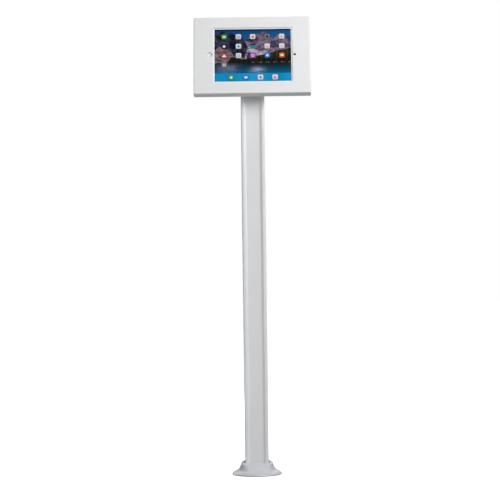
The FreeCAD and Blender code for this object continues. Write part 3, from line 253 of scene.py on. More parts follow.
PLASTIC_DRIFT_SCALE = 14
PLASTIC_DRIFT_SHADES = (0.96, 1.02)
PLASTIC_GLOSS_SCALE = 90
PLASTIC_GLOSS = (-0.07, 0.1)
PLASTIC_GRAIN_BUMP = (0.00006, 0.45)
SCUFF_TOP = 0.03
SCUFF_SCALE = 420
SCUFF_STRETCH = (1.0, 1.0, 5.0)
SCUFF_RANGE = (0.58, 0.72)
SCUFF_SHADE = 0.55


def moulded_plastic(name, colour, roughness, grain_scale=1500, scuffs=0.3):
    """Moulded plastic with spark-eroded grain, and scuffs that grow towards the floor."""
    s = Shader(name, colour, roughness)
    darkest, lightest = [scaled(colour, shade) for shade in PLASTIC_DRIFT_SHADES]
    tone = s.layer(darkest, lightest, s.noise(PLASTIC_DRIFT_SCALE, detail=2), NOISE_RANGE)
    low_down = s.spread(s.height_above_floor(), 0.0, SCUFF_TOP, 1.0, 0.0)
    scratches = s.noise(SCUFF_SCALE, detail=8, vector=s.stretched(SCUFF_STRETCH))
    scratches = s.spread(scratches, *SCUFF_RANGE, 0.0, scuffs)
    s.drive("Base Color", s.mix(s.math("MULTIPLY", scratches, low_down), tone, scaled(colour, SCUFF_SHADE)))
    s.roughen(s.noise(PLASTIC_GLOSS_SCALE, detail=4), around(roughness, PLASTIC_GLOSS))
    s.bump(s.cells(grain_scale), *PLASTIC_GRAIN_BUMP)
    return s.material


STREAK_SCALE = 900
STREAK_SHARE = 0.35
STREAK_SHADE = 1.12
STREAK_GLOSS = (-0.07, 0.12)
STREAK_GLOSS_RANGE = (0.25, 0.75)
STREAK_HEIGHT = 0.00003
TARNISH_SCALE = 130
TARNISH_RANGE = (0.42, 0.7)


def metal(name, colour, roughness, stretch=(1.0, 1.0, 1.0), scratches=0.5, stain=0.85):
    """Bare or plated metal with directional grain, tarnish and small scratches."""
    s = Shader(name, colour, roughness, metallic=1.0)
    streaks = s.noise(STREAK_SCALE, detail=4, vector=s.stretched(stretch))
    tone = s.layer(colour, scaled(colour, stain), s.noise(TARNISH_SCALE, detail=5), TARNISH_RANGE)
    s.drive("Base Color", s.layer(tone, scaled(colour, STREAK_SHADE), streaks, NOISE_RANGE, STREAK_SHARE))
    s.roughen(streaks, around(roughness, STREAK_GLOSS), STREAK_GLOSS_RANGE)
    s.bump(streaks, STREAK_HEIGHT, scratches)
    return s.material


RUBBER_ROUGHNESS = 0.75
RUBBER_GLOSS = (-0.1, 0.1)
RUBBER_GRAIN_SCALE = 1400
RUBBER_GRAIN_BUMP = (0.00008, 0.5)
DUST_SCALE = 210
DUST_RANGE = (0.5, 0.75)
DUST_SHARE = 0.5
DUST_SHADE = 3.0


def rubber(name, colour):
    """Matt rubber with a dusty bloom."""
    s = Shader(name, colour, RUBBER_ROUGHNESS)
    dust = s.noise(DUST_SCALE, detail=5)
    s.drive("Base Color", s.layer(colour, scaled(colour, DUST_SHADE), dust, DUST_RANGE, DUST_SHARE))
    s.roughen(dust, around(RUBBER_ROUGHNESS, RUBBER_GLOSS))
    s.bump(s.noise(RUBBER_GRAIN_SCALE, detail=4), *RUBBER_GRAIN_BUMP)
    return s.material


FOAM_ROUGHNESS = 0.95
FOAM_SHEEN = 0.25
FOAM_SHEEN_ROUGHNESS = 0.6
FOAM_SKIN_SCALE = 120
FOAM_SKIN_BUMP = (0.0004, 0.5)
PORE_SCALE = 900
PORE_RANGE = (0.1, 0.5)
# Shades of the foam's colour: painted shade inside the pores, then the skin between them.
PORE_PAINTED_SHADES = (0.35, 1.4)
PORE_BUMP = (0.0004, 0.8)


def foam(name, colour):
    """Closed-cell foam: open pores with painted shade in their hollows, over a soft uneven skin."""
    s = Shader(name, colour, FOAM_ROUGHNESS)
    pores = s.cells(PORE_SCALE)
    # Painted shade: each pore is darker towards its middle, where its hollow dips.
    inside, skin = [scaled(colour, shade) for shade in PORE_PAINTED_SHADES]
    s.drive("Base Color", s.layer(inside, skin, pores, PORE_RANGE))
    uneven = s.bump(s.noise(FOAM_SKIN_SCALE, detail=3), *FOAM_SKIN_BUMP)
    s.bump(pores, *PORE_BUMP, below=uneven)
    s.set("Sheen Weight", FOAM_SHEEN)
    s.set("Sheen Roughness", FOAM_SHEEN_ROUGHNESS)
    return s.material


GLASS_ROUGHNESS = 0.12
GLASS_COAT = (0.8, 0.04)
GLASS_WAVE_SCALE = 30
GLASS_WAVE_BUMP = (0.00002, 0.2)
SMEAR_SCALE = 45
SMEAR_STRETCH = (1.0, 1.0, 0.4)
SMEAR_RANGE = (0.4, 0.8)
SMEAR_SHADE = 0.975
SMEAR_GLOSS = (0.07, 0.24)
SMEAR_GLOSS_RANGE = (0.35, 0.75)


def white_glass(name, colour):
    """White-backed cover glass with a clear gloss coat and faint finger smears."""
    s = Shader(name, colour, GLASS_ROUGHNESS)
    s.clear_coat(*GLASS_COAT)
    smear = s.noise(SMEAR_SCALE, detail=6, vector=s.stretched(SMEAR_STRETCH))
    s.roughen(smear, SMEAR_GLOSS, SMEAR_GLOSS_RANGE)
    s.drive("Base Color", s.layer(colour, scaled(colour, SMEAR_SHADE), smear, SMEAR_RANGE))
    s.bump(s.noise(GLASS_WAVE_SCALE, detail=2), *GLASS_WAVE_BUMP)
    return s.material


BUTTON_ROUGHNESS = 0.3
BUTTON_COAT = (0.1, 0.3)
BUTTON_GLOSS = (0.42, 0.56)
BUTTON_GRAIN_SCALE = 1800
BUTTON_GRAIN_BUMP = (0.00002, 0.3)
BUTTON_GRAIN_SHADE = 0.97
# The mark is solid out to the first distance from the button's middle, and gone at the second.
BUTTON_MARK_EDGE = (0.0021, 0.0025)
BUTTON_MARK_GREY = (0.33, 0.34, 0.36)
BUTTON_MARK_SHARE = 0.45


def home_button_finish(name, colour):
    """Satin white button with a soft grey round mark in its middle."""
    s = Shader(name, colour, BUTTON_ROUGHNESS)
    mark = s.spread(s.distance_from(panel_centre("home_button")), *BUTTON_MARK_EDGE, 1.0, 0.0)
    texture = s.noise(BUTTON_GRAIN_SCALE, detail=3)
    tone = s.layer(scaled(colour, BUTTON_GRAIN_SHADE), colour, texture, NOISE_RANGE)
    s.drive("Base Color", s.mix(s.math("MULTIPLY", mark, BUTTON_MARK_SHARE), tone, BUTTON_MARK_GREY))
    s.roughen(texture, BUTTON_GLOSS)
    s.bump(texture, *BUTTON_GRAIN_BUMP)
    s.clear_coat(*BUTTON_COAT)
    return s.material


LENS_BLACK = (0.006, 0.006, 0.008)
LENS_CENTRE = (0.004, 0.004, 0.005)
LENS_RING = (0.02, 0.015, 0.05)
LENS_RING_RADIUS = 0.0012
LENS_RING_HALF_WIDTH = 0.0004
LENS_ROUGHNESS = 0.06
LENS_COAT = (1.0, 0.02)
LENS_GLOSS_SCALE = 300
LENS_GLOSS = (0.04, 0.1)


def lens_glass(name):
    """Black camera window with a deep blue-violet coating ring."""
    s = Shader(name, LENS_BLACK, LENS_ROUGHNESS)
    s.clear_coat(*LENS_COAT)
    away = s.distance_from(panel_centre("camera_lens"))
    coated = s.math("COMPARE", away, LENS_RING_RADIUS, LENS_RING_HALF_WIDTH)
    s.drive("Base Color", s.mix(coated, LENS_CENTRE, LENS_RING))
    s.roughen(s.noise(LENS_GLOSS_SCALE, detail=3), LENS_GLOSS)
    return s.material


BOARD_ROUGHNESS = 0.45
TRACK_SCALE = 260
TRACK_WIDTH = 0.06
TRACK_SHADE = 2.2
TRACK_BUMP = (0.00004, 0.5)


def circuit_board(name, colour):
    """Solder mask over fine copper tracks."""
    s = Shader(name, colour, BOARD_ROUGHNESS)
    tracks = s.node("ShaderNodeTexBrick")
    tracks.inputs["Scale"].default_value = TRACK_SCALE
    tracks.inputs["Mortar Size"].default_value = TRACK_WIDTH
    s.link(s.place, tracks.inputs["Vector"])
    s.drive("Base Color", s.mix(tracks.outputs["Fac"], colour, scaled(colour, TRACK_SHADE)))
    s.bump(tracks.outputs["Fac"], *TRACK_BUMP)
    return s.material


FOIL_ROUGHNESS = 0.35
FOIL_GLOSS = (0.28, 0.5)
FOLD_SCALE = 70
# How much lighter the painted highlight makes the raised folds.
FOLD_PAINTED_HIGHLIGHT = 1.8
FOLD_BUMP = (0.0004, 0.5)


def foil_pouch(name, colour):
    """Crinkled black foil of a flat cell, with a painted highlight on its raised folds."""
    s = Shader(name, colour, FOIL_ROUGHNESS)
    folds = s.noise(FOLD_SCALE, detail=6)
    # Painted highlight: the foil is lighter where its folds rise.
    s.drive("Base Color", s.layer(colour, scaled(colour, FOLD_PAINTED_HIGHLIGHT), folds, NOISE_RANGE))
    s.roughen(folds, FOIL_GLOSS)
    s.bump(folds, *FOLD_BUMP)
    return s.material


# ---- the picture on the lit screen ----
# Places in the picture run from 0 to 1: x to the right, y down and up upwards. Colours are linear.
WAVE_FREQUENCY = 1.7
WAVE_STEP = 1.9
WAVE_PHASE = 12.9898
GRAIN_OCTAVES = 5
GRAIN_TABLE = 64
GRAIN_CELLS = 4
GRAIN_ROUGHNESS = 0.75
GRAIN_CONTRAST = 2.0


def waves(x, seed, octaves=7, roughness=0.55):
    """Smooth 1-D noise made of sines, from about -1 to 1."""
    total = np.zeros_like(x)
    weight = 1.0
    for octave in range(octaves):
        frequency = WAVE_FREQUENCY * WAVE_STEP ** octave
        phase = WAVE_PHASE * (seed + 1) * (octave + 1)
        total += weight * np.sin(2 * math.pi * frequency * x + phase)
        weight *= roughness
    return total / 2


def grain(x, y, seed):
    """Rock texture: smooth random values on finer and finer grids, from 0 to 1."""
    source = np.random.default_rng(seed)
    total = np.zeros_like(x)
    reach = 0.0
    for octave in range(GRAIN_OCTAVES):
        table = source.random((GRAIN_TABLE, GRAIN_TABLE))
        across = x * GRAIN_CELLS * 2 ** octave
        down = y * GRAIN_CELLS * 2 ** octave
        column = np.floor(across).astype(int)
        row = np.floor(down).astype(int)
        right = across - column
        below = down - row
        left_side = [table[(row + step) % GRAIN_TABLE, column % GRAIN_TABLE] for step in (0, 1)]
        right_side = [table[(row + step) % GRAIN_TABLE, (column + 1) % GRAIN_TABLE] for step in (0, 1)]
        upper = left_side[0] * (1 - right) + right_side[0] * right
        lower = left_side[1] * (1 - right) + right_side[1] * right
        weight = GRAIN_ROUGHNESS ** octave
        total += weight * (upper * (1 - below) + lower * below)
        reach += weight
    return np.clip(0.5 + GRAIN_CONTRAST * (total / reach - 0.5), 0, 1)


def blend_colours(low, high, share):
    """Colours between low and high for an array of shares."""
    share = np.clip(share, 0, 1)[..., None]
    return np.asarray(low) * (1 - share) + np.asarray(high) * share


def paint(colour, where, layer):
    """Lay one layer over the picture where the mask holds."""
    return np.where(where[..., None], layer, colour)


def bell(value, middle, width):
    """Exponent of a soft bump around a middle."""
    return -((value - middle) / width) ** 2


# Skylines: seed and roughness of the edge, then its (x, up) points.
SKYLINE_STRETCH = 2.2
SKYLINES = {
    "far": (3, 0.02, (
        (0.00, 0.50), (0.36, 0.60), (0.41, 0.80), (0.47, 0.87), (0.52, 0.86), (0.58, 0.92), (0.65, 0.96),
        (0.70, 0.91), (0.74, 0.84), (0.78, 0.80), (0.82, 0.87), (0.87, 0.94), (0.92, 0.89), (0.96, 0.86),
        (1.00, 0.84))),
    "near": (8, 0.02, (
        (0.00, 0.90), (0.03, 0.93), (0.09, 0.97), (0.13, 0.95), (0.17, 0.90), (0.215, 0.94), (0.26, 0.89),
        (0.29, 0.87), (0.33, 0.92), (0.37, 0.84), (0.40, 0.74), (0.44, 0.62), (0.50, 0.50), (1.00, 0.30))),
    "scree": (12, 0.018, (
        (0.00, 0.60), (0.05, 0.67), (0.12, 0.63), (0.20, 0.62), (0.25, 0.50), (0.36, 0.44), (1.00, 0.42))),
    "snow": (21, 0.025, (
        (0.00, 0.30), (0.40, 0.52), (0.44, 0.64), (0.55, 0.62), (0.70, 0.60), (0.82, 0.54), (1.00, 0.50))),
    "forest": (31, 0.012, (
        (0.00, 0.34), (0.16, 0.36), (0.22, 0.47), (0.36, 0.42), (0.50, 0.45), (0.65, 0.52), (0.80, 0.57),
        (1.00, 0.64))),
}
# Stone and snow: dark and light colour, shares of x and y in the texture's two coordinates, its seed, and its
# contrast as a gain and an offset.
STONES = {
    "far": ((0.006, 0.014, 0.05), (0.25, 0.175, 0.25), (3.0, 1.8), (-1.2, 2.6), 2, 1.5, -0.25),
    "near": ((0.001, 0.003, 0.012), (0.050, 0.052, 0.090), (3.4, -1.5), (1.0, 2.2), 9, 1.7, -0.5),
    "scree": ((0.012, 0.009, 0.016), (0.27, 0.18, 0.21), (2.6, 1.0), (0.0, 4.0), 13, 1.5, -0.2),
    "snow": ((0.06, 0.05, 0.11), (0.62, 0.48, 0.58), (3.0, 0.0), (0.0, 6.0), 22, 1.8, -0.4),
}
SNOW_DEPTH = 0.12
SNOW_LEFT = 0.40
SKY = ((0.010, 0.12, 0.34), (0.003, 0.050, 0.17))
SKY_START = 1.3
SKY_GAIN = 2.5
SKY_LEAN = 0.5
FOREST = ((0.001, 0.003, 0.002), (0.052, 0.044, 0.014))
FOREST_LEFT = 0.14
TREE_SCALE = 9
TREE_LEAN = 0.6
TREE_SEED = 33
TREE_OCTAVES = 5
TREE_ROUGHNESS = 0.8
TREE_CONTRAST = 0.7
SUNLIT_BOTTOM = 0.40
SUNLIT_DEPTH = 0.15
SHADED_SHARE = 0.25
BEACH = ((0.01, 0.008, 0.006), (0.30, 0.17, 0.07))
BEACH_LEFT = 0.48
BEACH_HEIGHT = 0.014
BEACH_SCALE = 6
BEACH_SEED = 61
BEACH_CONTRAST = 1.4
SHORE_HEIGHT = 0.355
SHORE_WAVES = 0.003
SHORE_SCALE = 2
SHORE_SEED = 41
WATER = ((0.002, 0.010, 0.012), (0.001, 0.105, 0.23))
WATER_DEPTH = 0.2
WATER_CURVE = 1.5
RIPPLE_SCALE = 16
RIPPLE_LEAN = 0.3
RIPPLE_SEED = 44
RIPPLE_OCTAVES = 4
RIPPLE_ROUGHNESS = 0.7
CALM_SHARE = 0.35
REFLECTED = (0.19, 0.17, 0.24)
# Each reflection: middle and width across, middle and height up, the texture's scale across, start and scale
# down, then its seed and the reflection's strength.
REFLECTIONS = (
    ((0.16, 0.13), (0.25, 0.08), (2, 1.4, 4), 2, 1.9),
    ((0.56, 0.08), (0.22, 0.05), (3, 2.1, 6), 22, 3.4),
)


def skyline(x, kind):
    """Height of one skyline, with a rough edge."""
    seed, rough, points = SKYLINES[kind]
    places, heights = zip(*points)
    return np.interp(x, places, heights) + rough * waves(x * SKYLINE_STRETCH, seed)


def stone(x, y, kind):
    """Colours of one kind of stone or snow."""
    dark, light, across, down, seed, gain, offset = STONES[kind]
    texture = grain(x * across[0] + y * across[1], x * down[0] + y * down[1], seed)
    return blend_colours(dark, light, texture * gain + offset)


def lake(x, y, up):
    """The water: dark under the far shore, bluer below, with soft reflections."""
    depth = np.clip((SHORE_HEIGHT - up) / WATER_DEPTH, 0, 1)
    water = blend_colours(*WATER, depth ** WATER_CURVE)
    ripples = waves(y * RIPPLE_SCALE + RIPPLE_LEAN * x, RIPPLE_SEED, RIPPLE_OCTAVES, RIPPLE_ROUGHNESS)
    streaks = (1 + ripples) / 2
    shine = np.zeros_like(x)
    for across, upwards, (scale, start, scale_down), seed, strength in REFLECTIONS:
        texture = grain(x * scale, start - scale_down * y, seed)
        shine += strength * np.exp(bell(x, *across) + bell(up, *upwards)) * texture
    return water + np.asarray(REFLECTED) * (shine * (CALM_SHARE + (1 - CALM_SHARE) * streaks))[..., None]


def trees(x, y, up):
    """The forest: upright streaks, lighter where the sun reaches its upper part."""
    streaks = waves(x * TREE_SCALE + y * TREE_LEAN, TREE_SEED, TREE_OCTAVES, TREE_ROUGHNESS)
    streaks = np.clip(0.5 + TREE_CONTRAST * streaks, 0, 1)
    sunlit = np.clip((up - SUNLIT_BOTTOM) / SUNLIT_DEPTH, 0, 1)
    return blend_colours(*FOREST, streaks * (SHADED_SHARE + (1 - SHADED_SHARE) * sunlit))


def landscape(x, y):
    """A made-up mountain lake at dusk."""
    up = 1 - y
    colour = blend_colours(*SKY, up * SKY_GAIN - SKY_START - SKY_LEAN * x)
    for kind in ("far", "near", "scree"):
        colour = paint(colour, up < skyline(x, kind), stone(x, y, kind))
    snow_top = skyline(x, "snow")
    snowy = (up < snow_top) & (up > snow_top - SNOW_DEPTH) & (x > SNOW_LEFT)
    colour = paint(colour, snowy, stone(x, y, "snow"))
    colour = paint(colour, (up < skyline(x, "forest")) & (x > FOREST_LEFT), trees(x, y, up))
    beach = blend_colours(*BEACH, waves(x * BEACH_SCALE, BEACH_SEED) * BEACH_CONTRAST)
    colour = paint(colour, (up < SHORE_HEIGHT + BEACH_HEIGHT) & (x > BEACH_LEFT), beach)
    shore = SHORE_HEIGHT + SHORE_WAVES * waves(x * SHORE_SCALE, SHORE_SEED)
    return paint(colour, up < shore, lake(x, y, up))


# ---- plain marks for the tiles: u runs right and v runs down, from -1 to 1 inside a tile ----
MARK_EDGE = 0.12


def stripes(value, pitch, half_width):
    """Mask of evenly spaced stripes."""
    return np.abs(np.mod(value, pitch) - pitch / 2) < half_width


def disc(u, v, radius=0.52):
    """Filled circle."""
    return np.clip((radius - np.hypot(u, v)) / MARK_EDGE, 0, 1)


def ring(u, v, radius=0.42, half_width=0.14, edge=0.1):
    """Open circle."""
    return np.clip((half_width - np.abs(np.hypot(u, v) - radius)) / edge, 0, 1)


def diamond(u, v, reach=0.6):
    """Square that stands on a corner."""
    return np.clip((reach - np.abs(u) - np.abs(v)) / MARK_EDGE, 0, 1)


def block(u, v, half_width=0.5, half_height=0.34):
    """Filled rectangle."""
    return (np.abs(u) < half_width) & (np.abs(v) < half_height)


def bars(u, v, reach=0.6, pitch=0.4, half_width=0.1, start=0.1):
    """Level bars."""
    return (np.abs(u) < reach) & (np.abs(v) < reach) & stripes(v + start, pitch, half_width)


def columns(u, v, reach=0.55, pitch=0.4, half_width=0.13, steps=2.5, heights=3, short=0.2, step_height=0.35):
    """Upright columns whose tops go up in steps."""
    top = short - step_height * np.mod(np.floor((u + 1) * steps), heights)
    return (np.abs(u) < reach) & (v < reach) & (v > top) & stripes(u, pitch, half_width)


def header(u, v, top=-0.3, reach=0.7, pitch=0.36, half_width=0.04):
    """Solid upper part over thin lines."""
    return (v < top) | ((np.abs(u) < reach) & stripes(v, pitch, half_width))


def hill(u, v, foot=0.5, slope=1.2):
    """Filled triangle."""
    return (v < foot) & (v > np.abs(u) * slope - foot)


WHITE = (0.80, 0.80, 0.83)
GREEN = (0.05, 0.34, 0.06)
TEAL = (0.02, 0.36, 0.42)
AMBER = (0.75, 0.38, 0.05)
RED = (0.55, 0.04, 0.04)
VIOLET = (0.42, 0.10, 0.50)
BLUE = (0.02, 0.24, 0.62)
ORANGE = (0.72, 0.14, 0.02)
GREY = (0.20, 0.20, 0.22)
SILVER = (0.55, 0.55, 0.60)
DARK = (0.02, 0.02, 0.025)

SCREEN_ASPECT = 4 / 3
TILE_SIZE = 0.075
TILE_CORNER = 0.24
TILE_EDGE = 0.12
TILE_FOOT_SHADE = 0.72
SHADOW_SIZE = 1.12
SHADOW_DROP = 0.006
SHADOW_SHARE = 0.35
TILE_COLUMNS = (0.126, 0.314, 0.501, 0.690, 0.880)
TILE_ROWS = (0.144, 0.328, 0.506)
# Mark, colour of the tile and colour of the mark, row by row.
TILES = (
    (block, GREEN, WHITE), (bars, WHITE, GREY), (disc, WHITE, ORANGE), (disc, GREY, DARK),
    (columns, WHITE, TEAL),
    (disc, DARK, WHITE), (diamond, WHITE, BLUE), (header, TEAL, DARK), (bars, WHITE, AMBER),
    (bars, WHITE, SILVER),
    (hill, RED, WHITE), (ring, WHITE, BLUE), (ring, VIOLET, WHITE), (diamond, BLUE, WHITE),
    (block, ORANGE, WHITE),
)
LAST_TILE_ROW = 0.684
LAST_TILE = (ring, GREY, WHITE)
DOCK_TOP = 0.845
DOCK_ROW = 0.923
DOCK_COLUMNS = (0.216, 0.407, 0.597, 0.787)
DOCK_TILES = ((disc, GREEN, WHITE), (block, BLUE, WHITE), (diamond, WHITE, BLUE), (columns, WHITE, RED))
DOCK_BAND = ((0.0, 0.22, 0.48), (0.012, 0.32, 0.58))
DOCK_SHARE = 0.4
DOCK_WAVES = 0.3
DOCK_SEED = 51
DOCK_OCTAVES = 3
DOCK_GLOW = 0.6
DOCK_GLOW_PLACE = (0.56, 0.10)
TOP_LINE_HEIGHT = 0.034
TOP_LINE_EDGE = 0.012
TOP_LINE_SHARE = 0.8


def tile_mask(x, y, middle_x, middle_y, size=TILE_SIZE):
    """Rounded-square mask, and the place inside the square."""
    u = (x - middle_x) / (size / 2)
    v = (y - middle_y) / (size / 2 * SCREEN_ASPECT)
    inner = 1 - TILE_CORNER * 2
    over = np.hypot(np.maximum(np.abs(u) - inner, 0), np.maximum(np.abs(v) - inner, 0))
    return np.clip((TILE_CORNER * 2 - over) / TILE_EDGE, 0, 1), u, v


def paint_tile(colour, x, y, middle, tile):
    """Draw one tile over the picture, with a soft shadow and a gentle top-to-bottom shade."""
    mark, ground, ink = tile
    shadow, _, _ = tile_mask(x, y, middle[0], middle[1] + SHADOW_DROP, TILE_SIZE * SHADOW_SIZE)
    colour = colour * (1 - SHADOW_SHARE * shadow)[..., None]
    mask, u, v = tile_mask(x, y, *middle)
    face = blend_colours(ground, np.asarray(ground) * TILE_FOOT_SHADE, (v + 1) / 2)
    drawn = mark(u, v).astype(float)[..., None]
    face = face * (1 - drawn) + np.asarray(ink) * drawn
    return colour * (1 - mask)[..., None] + face * mask[..., None]


def screen_picture(x, y):
    """The whole picture: landscape, plain tiles, a bright band with four more tiles, and a dark top line."""
    colour = landscape(x, y)
    places = [(column, row) for row in TILE_ROWS for column in TILE_COLUMNS]
    for place, tile in zip(places, TILES):
        colour = paint_tile(colour, x, y, place, tile)
    colour = paint_tile(colour, x, y, (TILE_COLUMNS[0], LAST_TILE_ROW), LAST_TILE)
    glow = np.exp(bell(x, *DOCK_GLOW_PLACE))
    share = DOCK_SHARE + DOCK_WAVES * waves(x, DOCK_SEED, DOCK_OCTAVES) + DOCK_GLOW * glow
    colour = paint(colour, y > DOCK_TOP, blend_colours(*DOCK_BAND, share))
    for column, tile in zip(DOCK_COLUMNS, DOCK_TILES):
        colour = paint_tile(colour, x, y, (column, DOCK_ROW), tile)
    top_line = np.clip((TOP_LINE_HEIGHT - y) / TOP_LINE_EDGE, 0, 1)[..., None]
    return colour * (1 - TOP_LINE_SHARE * top_line)


# ---- the lit screen ----
GRID_COLUMNS = 264
GRID_ROWS = 198
SCREEN_BLACK = (0.004, 0.004, 0.005)
SCREEN_ROUGHNESS = 0.1
SCREEN_GLOSS = (0.05, 0.14)
SCREEN_GLOW = 0.95
SCREEN_SPECULAR = 0.18
SCREEN_SMEAR_SCALE = 38
SCREEN_SMEAR_RANGE = (0.4, 0.8)
# How much of the picture shows as surface colour, where the glass is clean and where it is smeared.
SCREEN_TINT = (0.01, 0.03)
SCREEN_UNLIT = (0.002, 0.002, 0.003)
PIXEL_ROW_SCALE = 1500
PIXEL_ROW_SHARE = 0.06


def lit_screen(name):
    """Picture that glows under gloss glass, with fine pixel rows and finger smears in the gloss."""
    s = Shader(name, SCREEN_BLACK, SCREEN_ROUGHNESS)
    picture = s.node("ShaderNodeVertexColor", layer_name="picture").outputs["Color"]
    rows = s.node("ShaderNodeTexWave", wave_type="BANDS", bands_direction="X")
    rows.inputs["Scale"].default_value = PIXEL_ROW_SCALE
    s.link(s.place, rows.inputs["Vector"])
    s.drive("Emission Color", s.layer(picture, (0, 0, 0), rows.outputs["Fac"], (0, 1), PIXEL_ROW_SHARE))
    s.set("Emission Strength", SCREEN_GLOW)
    smear = s.noise(SCREEN_SMEAR_SCALE, detail=6)
    s.drive("Base Color", s.mix(s.spread(smear, *SCREEN_SMEAR_RANGE, *SCREEN_TINT), SCREEN_UNLIT, picture))
    s.roughen(smear, SCREEN_GLOSS, SCREEN_SMEAR_RANGE)
    s.set("Specular IOR Level", SCREEN_SPECULAR)
    return s.material


def screen_grid():
    """A thin closed slab, one unit each way, with a fine grid on its front. Gives the mesh and its points."""
    form = bmesh.new()
    bmesh.ops.create_grid(form, x_segments=GRID_COLUMNS, y_segments=GRID_ROWS, size=0.5)
    front_edges = [edge for edge in form.edges if edge.is_boundary]
    walls = bmesh.ops.extrude_edge_only(form, edges=front_edges)["geom"]
    back_points = [item for item in walls if isinstance(item, bmesh.types.BMVert)]
    bmesh.ops.translate(form, verts=back_points, vec=(0, 0, -1))
    back_edges = [item for item in walls if isinstance(item, bmesh.types.BMEdge) and item.is_boundary]
    bmesh.ops.contextual_create(form, geom=back_edges)
    bmesh.ops.recalc_face_normals(form, faces=form.faces)
    mesh = bpy.data.meshes.new("screen_image")
    form.to_mesh(mesh)
    form.free()
    flat = np.empty(len(mesh.vertices) * 3)
    mesh.vertices.foreach_get("co", flat)
    return mesh, flat.reshape(-1, 3)


def build_screen():
    """The display as a slab whose front grid points each hold a colour of the picture."""
    mesh, points = screen_grid()
    colours = np.ones((len(points), 4))
    colours[:, :3] = screen_picture(points[:, 0] + 0.5, 0.5 - points[:, 1])
    layer = mesh.color_attributes.new("picture", "FLOAT_COLOR", "POINT")
    layer.data.foreach_set("color", colours.ravel())
    (x0, x1), (n0, n1), (u0, u1) = panel_extent("display_panel")
    for vertex in mesh.vertices:
        x = x0 + (vertex.co.x + 0.5) * (x1 - x0)
        n = n1 if vertex.co.z > -0.5 else n0
        u = u0 + (vertex.co.y + 0.5) * (u1 - u0)
        vertex.co = place_on_panel(x, n, u)
    screen = bpy.data.objects.new("screen_image", mesh)
    bpy.context.collection.objects.link(screen)
    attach(screen, "enclosure")
    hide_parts("display_panel")
    mesh.materials.append(lit_screen("lit_screen"))


# ---- foam ----
PAD_CUTS = 10
PAD_ROUNDING = 0.0012
PAD_HOLLOW = 0.0007
PAD_HOLLOW_POWER = 6
SAME_POINT = 1e-6
SORTING_DIGITS = 4


def pad_point(place, low, high):
    """One point of a soft-edged pad. place runs from -1 to 1 each way; the free sides pull in a little."""
    half = (high - low) / 2
    centre = (high + low) / 2
    reach = half - Vector((PAD_ROUNDING,) * 3)
    inner = Vector([max(-r, min(r, p * h)) for p, h, r in zip(place, half, reach)])
    outward = Vector([p * h - i for p, h, i in zip(place, half, inner)])
    if outward.length > 0:
        outward = outward.normalized() * PAD_ROUNDING
    point = inner + outward
    waist = math.cos(place.y * math.pi / 2)
    point.x -= math.copysign(PAD_HOLLOW, place.x) * waist * abs(place.x) ** PAD_HOLLOW_POWER
    point.z -= math.copysign(PAD_HOLLOW, place.z) * waist * abs(place.z) ** PAD_HOLLOW_POWER
    return centre + point


def islands(form):
    """The vertices of a mesh, grouped by the separate solids that they belong to."""
    waiting = set(form.verts)
    while waiting:
        reached = [waiting.pop()]
        island = []
        while reached:
            vertex = reached.pop()
            island.append(vertex)
            for edge in vertex.link_edges:
                other = edge.other_vert(vertex)
                if other in waiting:
                    waiting.remove(other)
                    reached.append(other)
        yield island


def separate_boxes(node):
    """Boxes of a CAD node's separate solids, as lowest and highest (x, n, u) corners in the panel frame."""
    form = bmesh.new()
    form.from_mesh(frame["nodes"][node].data)
    bmesh.ops.remove_doubles(form, verts=form.verts, dist=SAME_POINT)
    ranges = [panel_ranges([vertex.co for vertex in island]) for island in islands(form)]
    form.free()
    boxes = [tuple(Vector(corner) for corner in zip(*extent)) for extent in ranges]
    return sorted(boxes, key=lambda box: tuple(round(number, SORTING_DIGITS) for number in box[0]))


def build_pads(name, node, material):
    """Foam blocks with rounded edges and sides that pull in where the foam is squeezed."""
    form = bmesh.new()
    mesh = bpy.data.meshes.new(name)
    for low, high in separate_boxes(node):
        pad = bmesh.new()
        bmesh.ops.create_cube(pad, size=2.0)
        bmesh.ops.subdivide_edges(pad, edges=pad.edges[:], cuts=PAD_CUTS, use_grid_fill=True)
        for vertex in pad.verts:
            vertex.co = place_on_panel(*pad_point(vertex.co.copy(), low, high))
        pad.to_mesh(mesh)
        pad.free()
        form.from_mesh(mesh)
    bmesh.ops.recalc_face_normals(form, faces=form.faces)
    for face in form.faces:
        face.smooth = True
    form.to_mesh(mesh)
    form.free()
    mesh.materials.append(material)
    pads = bpy.data.objects.new(name, mesh)
    bpy.context.collection.objects.link(pads)
    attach(pads, "enclosure")
    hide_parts(node)


# ---- finishes of the CAD nodes ----
COAT_WHITE = (0.784, 0.789, 0.797)
EXTRUSION_WHITE = (0.840, 0.847, 0.857)
SKIRT_GREY = (0.624, 0.634, 0.676)
STRIP_WHITE = (0.76, 0.77, 0.78)
ZINC = (0.60, 0.60, 0.58)
ROLLED_STEEL = (0.50, 0.50, 0.51)
SPRING_BLUE = (0.16, 0.16, 0.18)
CHROME = (0.80, 0.80, 0.82)
ALUMINIUM = (0.72, 0.73, 0.74)
NYLON = (0.78, 0.76, 0.68)
FIBRE = (0.16, 0.05, 0.035)
RUBBER_BLACK = (0.02, 0.02, 0.021)
FOAM_GREY = (0.035, 0.035, 0.04)
GLASS_WHITE = (0.94, 0.945, 0.95)
BUTTON_SHADE = 0.90
FOIL_BLACK = (0.03, 0.03, 0.035)
BOARD_GREEN = (0.01, 0.09, 0.035)
ALONG_HINGE = (1.0, 1.0, 0.08)


